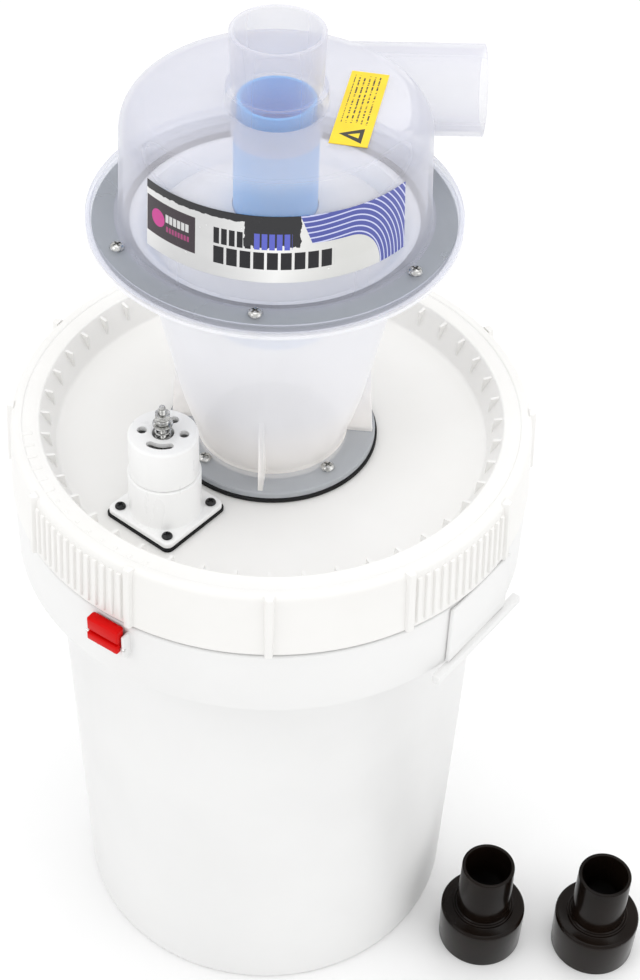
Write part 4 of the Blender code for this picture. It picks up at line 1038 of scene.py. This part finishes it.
def place_screws(mesh, nodes, places, finish, slot):
    first_turn, next_turn = 12, 37
    for number, (node, place) in enumerate(zip(nodes, places)):
        copy = mesh.copy()
        turn = radians(first_turn + next_turn * number)
        copy.transform(place @ Matrix.Rotation(turn, 4, "Z"))
        obj = bpy.data.objects.new(node.replace("screw", "pan_screw"), copy)
        bpy.context.collection.objects.link(obj)
        dress(obj, finish, "lid_body", slot, node, crease=30)


FLANGE_CIRCLE, BASE_CIRCLE = 0.092, 0.0513
FLANGE_SCREWS = [at_azimuth(a, FLANGE_CIRCLE, DOME_FOOT + GAP) for a in range(-66, 294, 60)]
BASE_SCREWS = [at_azimuth(a, BASE_CIRCLE, CONE_FLOOR + GAP) for a in range(40, 400, 90)]
big_screw = pan_head(0.004, 0.0026, 0.002, 0.015)
place_screws(big_screw, numbered("flange_screw", 6), FLANGE_SCREWS, ZINC, "zinc")
place_screws(big_screw, numbered("base_screw", 4), BASE_SCREWS, ZINC, "zinc")

# %% [markdown]
# ## The relief valve
# If the inlet blocks, the vacuum could crush the pail, so a spring-loaded disc opens and lets air in. The
# housing is a square plate with a barrel and a ported cap. A threaded rod runs through it with its spring
# and two nuts on top.

# %% Housing of the valve
VALVE_BASE = WELL_FLOOR + 0.0025
VALVE_DECK = VALVE_BASE + 0.003
BARREL_TOP = high("valve_body")
CAP_BASE, CAP_TOP = BARREL_TOP + GAP, high("valve_cap")


def rounded_square(side, corner, steps=6):
    half = side / 2 - corner
    points = []
    for x, y, start in ((half, half, 0), (-half, half, 90), (-half, -half, 180), (half, -half, 270)):
        points += arc((x, y), corner, start, start + 90, steps)
    return points


def add_plate(bm, side, corner, bottom, top, soften):
    """A square plate with round corners and a softened rim."""
    add_prism(bm, rounded_square(side, corner), bottom, top)
    rim = [e for e in bm.edges if all(abs(v.co.z - top) < 1e-6 for v in e.verts)]
    bmesh.ops.bevel(bm, geom=rim, offset=soften, segments=3, profile=0.5, affect="EDGES", material=-1)


def make_valve_body():
    plate, corner, barrel, foot, soft, fillet = 0.048, 0.004, 0.0210, 0.0216, 0.0007, 0.0008
    rod_hole, port, port_circle = 0.0028, 0.0026, 0.0102
    bm = bmesh.new()
    add_plate(bm, plate, corner, VALVE_BASE, VALVE_DECK, soft)
    obj = solid(bm, "valve_housing")
    outline = [
        (0, VALVE_BASE + 0.001),
        (foot, VALVE_BASE + 0.001),
        (foot, VALVE_DECK + 0.0002),
        *arc((foot, VALVE_DECK + 0.0002 + fillet), fillet, -90, -180, 3),
        *arc((barrel - soft, BARREL_TOP - soft), soft, 0, 90, 3),
        (0, BARREL_TOP),
    ]
    carve(obj, turned("barrel_tool", outline, 96), "UNION")
    bm = bmesh.new()
    add_rod(bm, VALVE_BORE, VALVE_BASE - 0.002, BARREL_TOP - 0.003, None, 64)
    carve(obj, solid(bm, "bore_tool"))
    bm = bmesh.new()
    low_cut, high_cut = BARREL_TOP - 0.01, BARREL_TOP + 0.01
    add_rod(bm, rod_hole, low_cut, high_cut, None, 24)
    for azimuth in range(0, 360, 60):
        add_rod(bm, port, low_cut, high_cut, at_azimuth(azimuth, port_circle), 24)
    carve(obj, solid(bm, "port_tool"))
    obj.data.transform(VALVE_PLACE)
    return dress(obj, VALVE_WHITE, "lid_body", "white_plastic", "valve_body")


# %% [markdown]
# The cap is a small cup turned over. Three round ports and a longer curved one let the air in, and the
# middle hole is wide enough for the spring.

# %% Cap of the valve
def curved_slot(middle, half, lean):
    """A slot's outline round the axis, with round ends at this many degrees to either side."""
    first, last = [(middle * cos(radians(a)), middle * sin(radians(a))) for a in (lean, -lean)]
    return [
        *arc((0, 0), middle + half, -lean, lean, 12),
        *arc(first, half, lean, lean + 180)[1:-1],
        *arc((0, 0), middle - half, lean, -lean, 12),
        *arc(last, half, 180 - lean, 360 - lean)[1:-1],
    ]


def make_valve_cap():
    outer, wall, roof, hole = 0.0199, 0.002, 0.003, 0.0062
    edge, shoulder, lip = 0.0006, 0.0016, 0.0004
    port, slot_half, port_circle, slot_lean = 0.0029, 0.0023, 0.0119, 28
    outline = [
        (outer - edge, CAP_BASE),
        (outer, CAP_BASE + edge),
        *arc((outer - shoulder, CAP_TOP - shoulder), shoulder, 0, 90),
        *arc((hole + lip, CAP_TOP - lip), lip, 90, 180, 3),
        (hole, CAP_TOP - roof),
        (outer - wall, CAP_TOP - roof),
        (outer - wall, CAP_BASE),
    ]
    obj = turned("valve_hood", outline, 96)
    upright = Matrix.Rotation(radians(-VALVE_AZIMUTH), 4, "Z")
    low_cut, high_cut = CAP_TOP - 0.008, CAP_TOP + 0.004
    bm = bmesh.new()
    for azimuth in (-98, 84, 152):
        add_rod(bm, port, low_cut, high_cut, upright @ at_azimuth(azimuth, port_circle), 32)
    carve(obj, solid(bm, "round_tool"))
    bm = bmesh.new()
    place = upright @ Matrix.Rotation(radians(-97), 4, "Z")
    add_prism(bm, curved_slot(port_circle, slot_half, slot_lean), low_cut, high_cut, place)
    carve(obj, solid(bm, "slot_tool"))
    obj.data.transform(VALVE_PLACE)
    return dress(obj, VALVE_WHITE, "lid_body", "white_plastic", "valve_cap")


make_valve_body()
make_valve_cap()

# %% [markdown]
# The rod, its two nuts and its disc move down together when the valve opens, and the spring under the
# washer shortens by the same travel.

# %% Rod, nuts, washer, spring and plate screws
ROD_TOP = high("valve_poppet")
SPRING_TOP = low("spring_washer") - GAP
RELIEF_TRAVEL = 0.006


def make_poppet():
    """The disc and its rod, with the thread cut as a row of fine ridges."""
    disc_low = low("valve_poppet")
    disc, thick, soft = 0.0143, 0.0025, 0.0004
    pitch, crest, root = 0.0008, 0.0020, 0.00165
    thread_low = BARREL_TOP + 0.006
    turns = int((ROD_TOP - 0.0006 - thread_low) / pitch)
    thread = []
    for i in range(turns):
        thread += [(root, thread_low + i * pitch), (crest, thread_low + (i + 0.5) * pitch)]
    outline = [
        (0, disc_low),
        (disc - soft, disc_low),
        (disc, disc_low + soft),
        (disc, disc_low + thick - soft),
        (disc - soft, disc_low + thick),
        (crest, disc_low + thick),
        *thread,
        (root, ROD_TOP),
        (0, ROD_TOP),
    ]
    obj = turned("relief_rod", outline, 32, VALVE_PLACE, 70)
    return dress(obj, ZINC, "relief_poppet", "zinc", "valve_poppet", crease=70)


def make_rod_nut(node, turn):
    """A hexagon nut with chamfered corners."""
    bottom, top = low(node), high(node)
    across, bore = 0.0082, 0.0023
    bm = bmesh.new()
    corner = across / 2 / cos(pi / 6)
    add_rod(bm, corner, bottom, top, Matrix.Rotation(radians(turn), 4, "Z"), 6)
    obj = solid(bm, "nut_" + node)
    soft = 0.0004
    outline = [
        (bore, bottom - soft),
        (across / 2 - 0.0001, bottom - 0.0001),
        (corner + 0.0002, bottom + soft * 2),
        (corner + 0.0002, top - soft * 2),
        (across / 2 - 0.0001, top + 0.0001),
        (bore, top + soft),
    ]
    carve(obj, turned("chamfer_tool", outline, 48), "INTERSECT")
    obj.data.transform(VALVE_PLACE)
    return dress(obj, ZINC, "relief_poppet", "zinc", node, crease=20)


def make_spring():
    """A coil of round wire, swept by a spin that climbs."""
    wire, coil, turns, steps = 0.00055, 0.0042, 9, 28
    bottom = BARREL_TOP + wire + GAP
    climb = SPRING_TOP - wire - bottom
    bm = bmesh.new()
    place = Matrix.Translation((coil, 0, bottom)) @ Matrix.Rotation(pi / 2, 4, "X")
    made = bmesh.ops.create_circle(bm, cap_ends=False, segments=10, radius=wire, matrix=place)
    verts = made["verts"]
    edges = list({edge for vert in verts for edge in vert.link_edges})
    total = turns * steps
    bmesh.ops.spin(
        bm, geom=verts + edges, cent=(0, 0, 0), axis=(0, 0, 1), dvec=(0, 0, climb / total),
        angle=tau * turns, steps=total,
    )
    bmesh.ops.holes_fill(bm, edges=[e for e in bm.edges if e.is_boundary], sides=10)
    obj = solid(bm, "relief_coil", 60)
    obj.data.transform(VALVE_PLACE)
    dress(obj, ZINC, "lid_body", "zinc", "valve_spring", crease=60)
    foot = bottom - wire
    keep = 1 - (RELIEF_TRAVEL + 0.0001) / (SPRING_TOP - foot)
    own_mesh(obj)


make_poppet()
make_rod_nut("rod_nut_1", 22)
make_rod_nut("rod_nut_2", 44)
make_spring()
small_screw = pan_head(0.0032, 0.002, 0.0015, 0.012)
VALVE_SCREW_HALF = 0.0183
VALVE_SCREWS = [
    VALVE_PLACE @ Matrix.Translation((x * VALVE_SCREW_HALF, y * VALVE_SCREW_HALF, VALVE_DECK + GAP))
    for x, y in ((-1, -1), (1, -1), (1, 1), (-1, 1))
]
place_screws(small_screw, numbered("valve_screw", 4), VALVE_SCREWS, SCREW_BLACK, "black_plastic")

# %% [markdown]
# ## Hose adapters
# The two black reducers slide over the ports so that a smaller hose fits. They are turned from one
# outline: a wide cup, a flat shoulder with a bead, and a long neck. Polished black plastic is drawn by its
# highlights, so the edges are rounded enough to catch them.

# %% Turn the adapters
def make_adapter(node):
    corner_low, corner_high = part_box(node)
    centre = (Vector(corner_low) + Vector(corner_high)) / 2
    top = corner_high[2]
    cup, neck, bore, cup_bore, shoulder = 0.0292, 0.0184, 0.0157, 0.0257, 0.034
    outline = [
        *arc((cup - 0.0011, 0.0006), 0.0006, -90, 0, 3),
        (cup, shoulder - 0.004),
        *arc((cup - 0.0022, shoulder - 0.0022), 0.0022, 0, 90),
        *arc((neck + 0.0032, shoulder + 0.0004), 0.0004, -90, -180, 2),
        *arc((neck + 0.0018, shoulder + 0.0012), 0.0010, 0, 130),
        (neck + 0.0003, shoulder + 0.0026),
        (neck - 0.0003, top - 0.0008),
        *arc((neck - 0.0011, top - 0.0008), 0.0008, 0, 90, 4),
        *arc((bore + 0.0007, top - 0.0007), 0.0007, 90, 180, 4),
        (bore, shoulder - 0.0035),
        (cup_bore - 0.001, shoulder - 0.0040),
        (cup_bore, shoulder - 0.0055),
        (cup_bore, 0.0005),
        (cup_bore + 0.0005, 0),
    ]
    obj = turned("reducer_" + node[-1], outline, 128, Matrix.Translation((centre.x, centre.y, 0)))
    return dress(obj, ADAPTER_BLACK, "adapter_" + node[-1], "black_plastic", node)


for node in ("hose_adapter_1", "hose_adapter_2"):
    make_adapter(node)

# %% [markdown]
# ## Labels
# Both labels are printed film, with a plain design of bars and waves and no lettering. The front one wraps
# the wall, so it is spun like the dome itself, and its artwork comes from the angle round the dome and the
# height.

# %% Film pieces
LABEL_START, LABEL_END = -51, 52
LABEL_LOW, LABEL_HIGH = low("front_label"), high("front_label")
FILM_BACK, FILM_FACE = 0.0003, 0.0006


def dome_wall_radius(height):
    foot, top = DOME_FOOT + 0.002, DOME_TOP - DOME_ROUND
    return DOME_RADIUS + (DOME_TOP_RADIUS - DOME_RADIUS) * (height - foot) / (top - foot)


def make_front_label():
    bm = bmesh.new()
    ring = [
        (dome_wall_radius(LABEL_LOW) + FILM_BACK, LABEL_LOW),
        (dome_wall_radius(LABEL_LOW) + FILM_FACE, LABEL_LOW),
        (dome_wall_radius(LABEL_HIGH) + FILM_FACE, LABEL_HIGH),
        (dome_wall_radius(LABEL_HIGH) + FILM_BACK, LABEL_HIGH),
    ]
    place = at_azimuth(LABEL_START)
    verts = [bm.verts.new(place @ Vector((0, -r, z))) for r, z in ring]
    edges = [bm.edges.new((verts[i], verts[(i + 1) % 4])) for i in range(4)]
    turn = radians(LABEL_END - LABEL_START)
    bmesh.ops.spin(bm, geom=verts + edges, cent=(0, 0, 0), axis=(0, 0, 1), angle=turn, steps=72)
    bmesh.ops.holes_fill(bm, edges=[e for e in bm.edges if e.is_boundary], sides=4)
    return dress(solid(bm, "dome_label"), label_film(), "lid_body", "silver_label", "front_label")


# %% [markdown]
# The label's ground is bright silver, with a smoky band along its upper edge. Its tone rises and falls
# round the dome as a painted sheen, and a dark patch in its upper middle is a painted reflection of the
# dark surroundings in front of it. A dark plum tag sits on the left, rows of plain blocks stand where
# words would be, and a blue field with fine pale waves fills the right. Each is a mask: 1 inside, 0 outside.

# %% Artwork of the front label
# The second colour is both the dark print of the blocks and the painted reflection on the silver.
PLUM, DARK_PRINT_AND_REFLECTION = (0.026, 0.014, 0.022), (0.012, 0.012, 0.015)
INK_BLUE, PALE_BLUE = (0.072, 0.088, 0.36), (0.60, 0.63, 0.86)


def inside(value, lowest, highest):
    return (value > lowest) * (value < highest)


def blocks(angle, rise, first, last, bottom, top, every, filled):
    """A row of plain blocks: each fills this share of its place."""
    beat = ((angle - first) * (1 / every)).math("FRACT")
    return inside(angle, first, last) * inside(rise, bottom, top) * (beat < filled)


def silver_ground(board, angle, rise):
    # Painted sheen: the silver's tone rises and falls round the dome, as reflected light would.
    painted_sheen = (angle * 0.055).math("SINE") * 0.5 + 0.5
    silver = board.ramp(
        painted_sheen * 0.8 + board.noise(40.0, 2.0, (0.3, 0.3, 2)) * 0.2,
        [(0.1, (0.62, 0.62, 0.62)), (0.5, (0.88, 0.88, 0.87)), (0.9, (0.66, 0.66, 0.64))],
    )
    ragged = board.noise(320.0, 3.0) * 0.16
    edge_band = (rise + ragged * 0.5 > 0.93) * (angle < 9.0)
    # Painted reflection: this dark patch in the upper middle stands for dark surroundings mirrored in the
    # film.
    patch = inside(angle + ragged * 14.0, -9.5, 10.0) * (rise + ragged > 0.62)
    dark_band_and_reflection = edge_band.math("MAXIMUM", patch)
    return board.mix(dark_band_and_reflection, silver, DARK_PRINT_AND_REFLECTION), dark_band_and_reflection


def add_tag(board, base, angle, rise):
    tag = inside(angle, -50.8, -28.5) * inside(rise, 0.24, 0.79)
    base = board.mix(tag, base, PLUM)
    across, up = (angle + 45.0) / 3.2, (rise - 0.52) / 0.13
    base = board.mix((across * across + up * up) < 1.0, base, (0.55, 0.03, 0.26))
    words = blocks(angle, rise, -41.3, -30.8, 0.52, 0.64, 1.75, 0.78)
    base = board.mix(words, base, (0.62, 0.62, 0.62))
    words = blocks(angle, rise, -41.0, -30.8, 0.38, 0.46, 1.3, 0.7)
    return board.mix(words, base, (0.34, 0.04, 0.16)), tag


def blue_field(angle, rise):
    """The field's mask, and the distance from the lobe that its waves follow."""
    reach = (angle - 27.0).math("MAXIMUM", 0.0) / 12.5
    climb = rise / 0.58
    lobe = (reach * reach + climb * climb).math("SQRT")
    return ((angle + rise * 10.0) > 18.8) * (lobe > 1.0), lobe


def label_film():
    board = Board("label_film")
    x, y, z = board.xyz()
    angle = (x.math("ARCTAN2", y * -1.0)) * (180 / pi)
    rise = (z - LABEL_LOW) / (LABEL_HIGH - LABEL_LOW)
    base, dark_band_and_reflection = silver_ground(board, angle, rise)
    base, tag = add_tag(board, base, angle, rise)
    base = board.mix(blocks(angle, rise, -21.5, -7.5, 0.50, 0.74, 2.8, 0.74), base, DARK_PRINT_AND_REFLECTION)
    base = board.mix(blocks(angle, rise, -7.1, 6.0, 0.50, 0.74, 2.6, 0.74), base, (0.10, 0.12, 0.55))
    base = board.mix(blocks(angle, rise, -21.5, 21.0, 0.20, 0.46, 4.72, 0.80), base, DARK_PRINT_AND_REFLECTION)
    field, lobe = blue_field(angle, rise)
    base = board.mix(field, base, INK_BLUE)
    waves = ((lobe * 44.0 + (angle * 0.16).math("SINE") * 2.0).math("SINE") > 0.72) * field
    base = board.mix(waves, base, PALE_BLUE)
    board.put("Base Color", base)
    board.put("Metallic", (1 - field) * (1 - tag) * (1 - dark_band_and_reflection) * 0.35)
    board.put("Roughness", board.noise(200.0, 2.0) * 0.1 + 0.2)
    board.bump(board.noise(45.0, 2.0), 0.00012, 0.5)
    return board.material


make_front_label()

# %% The yellow label on top of the dome
STICKER_TURN, STRIPE_EVERY = 11.2, 0.0027


def yellow_film():
    corner_low, corner_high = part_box("top_sticker")
    middle = (Vector(corner_low) + Vector(corner_high)) / 2
    board = Board("yellow_film")
    shifted = board.node("ShaderNodeVectorMath", {"operation": "SUBTRACT"}, {0: board.place(), 1: middle})
    inputs = {"Vector": shifted, "Angle": radians(STICKER_TURN)}
    level = board.node("ShaderNodeVectorRotate", {"rotation_type": "Z_AXIS"}, inputs)
    across, along, _ = board.xyz(level)
    ink = (0.03, 0.028, 0.02)
    ground = board.ramp(board.noise(60.0, 3.0), [(0.3, (0.86, 0.60, 0.012)), (0.7, (0.93, 0.68, 0.02))])
    stripes = ((across * (tau / STRIPE_EVERY)).math("SINE") > 0.55) * inside(across, -0.0075, 0.0078)
    words = stripes * inside(along, -0.015, 0.031) * (board.noise(900.0, 1.0, (0.2, 1, 1)) > 0.46)
    base = board.mix(words, ground, ink)
    mark = (along + 0.0253).math("ABSOLUTE")
    triangle = (across < 0.0062) * (mark < (across + 0.0066) * 0.54)
    base = board.mix(triangle, base, ink)
    heart = (across < 0.0042) * (mark < (across + 0.0018) * 0.40)
    base = board.mix(heart, base, (0.90, 0.64, 0.02))
    board.put("Base Color", base)
    board.put("Roughness", board.noise(300.0, 2.0) * 0.12 + 0.34)
    board.bump(board.noise(70.0, 2.0), 0.00008, 0.4)
    return board.material


# %% [markdown]
# ## Pieces that keep their working shape
# The nuts under the flanges, the latch's pin, the spring's washer, three seals and the flat label on the
# dome are already right in the frame. They only need a finish: zinc, rubber, or the label's yellow film.

# %% Finish the frame's own nodes
KEPT = {
    ZINC: ["latch_pin", "spring_washer", *numbered("flange_nut", 6), *numbered("base_nut", 4)],
    SEAL_RUBBER: ["lid_seal", "valve_seal", "poppet_seal"],
    yellow_film(): ["top_sticker"],
}
for finish, nodes in KEPT.items():
    for node in nodes:
        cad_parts[node].data.materials.clear()
        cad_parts[node].data.materials.append(finish)
print("kept nodes", sum(len(nodes) for nodes in KEPT.values()))
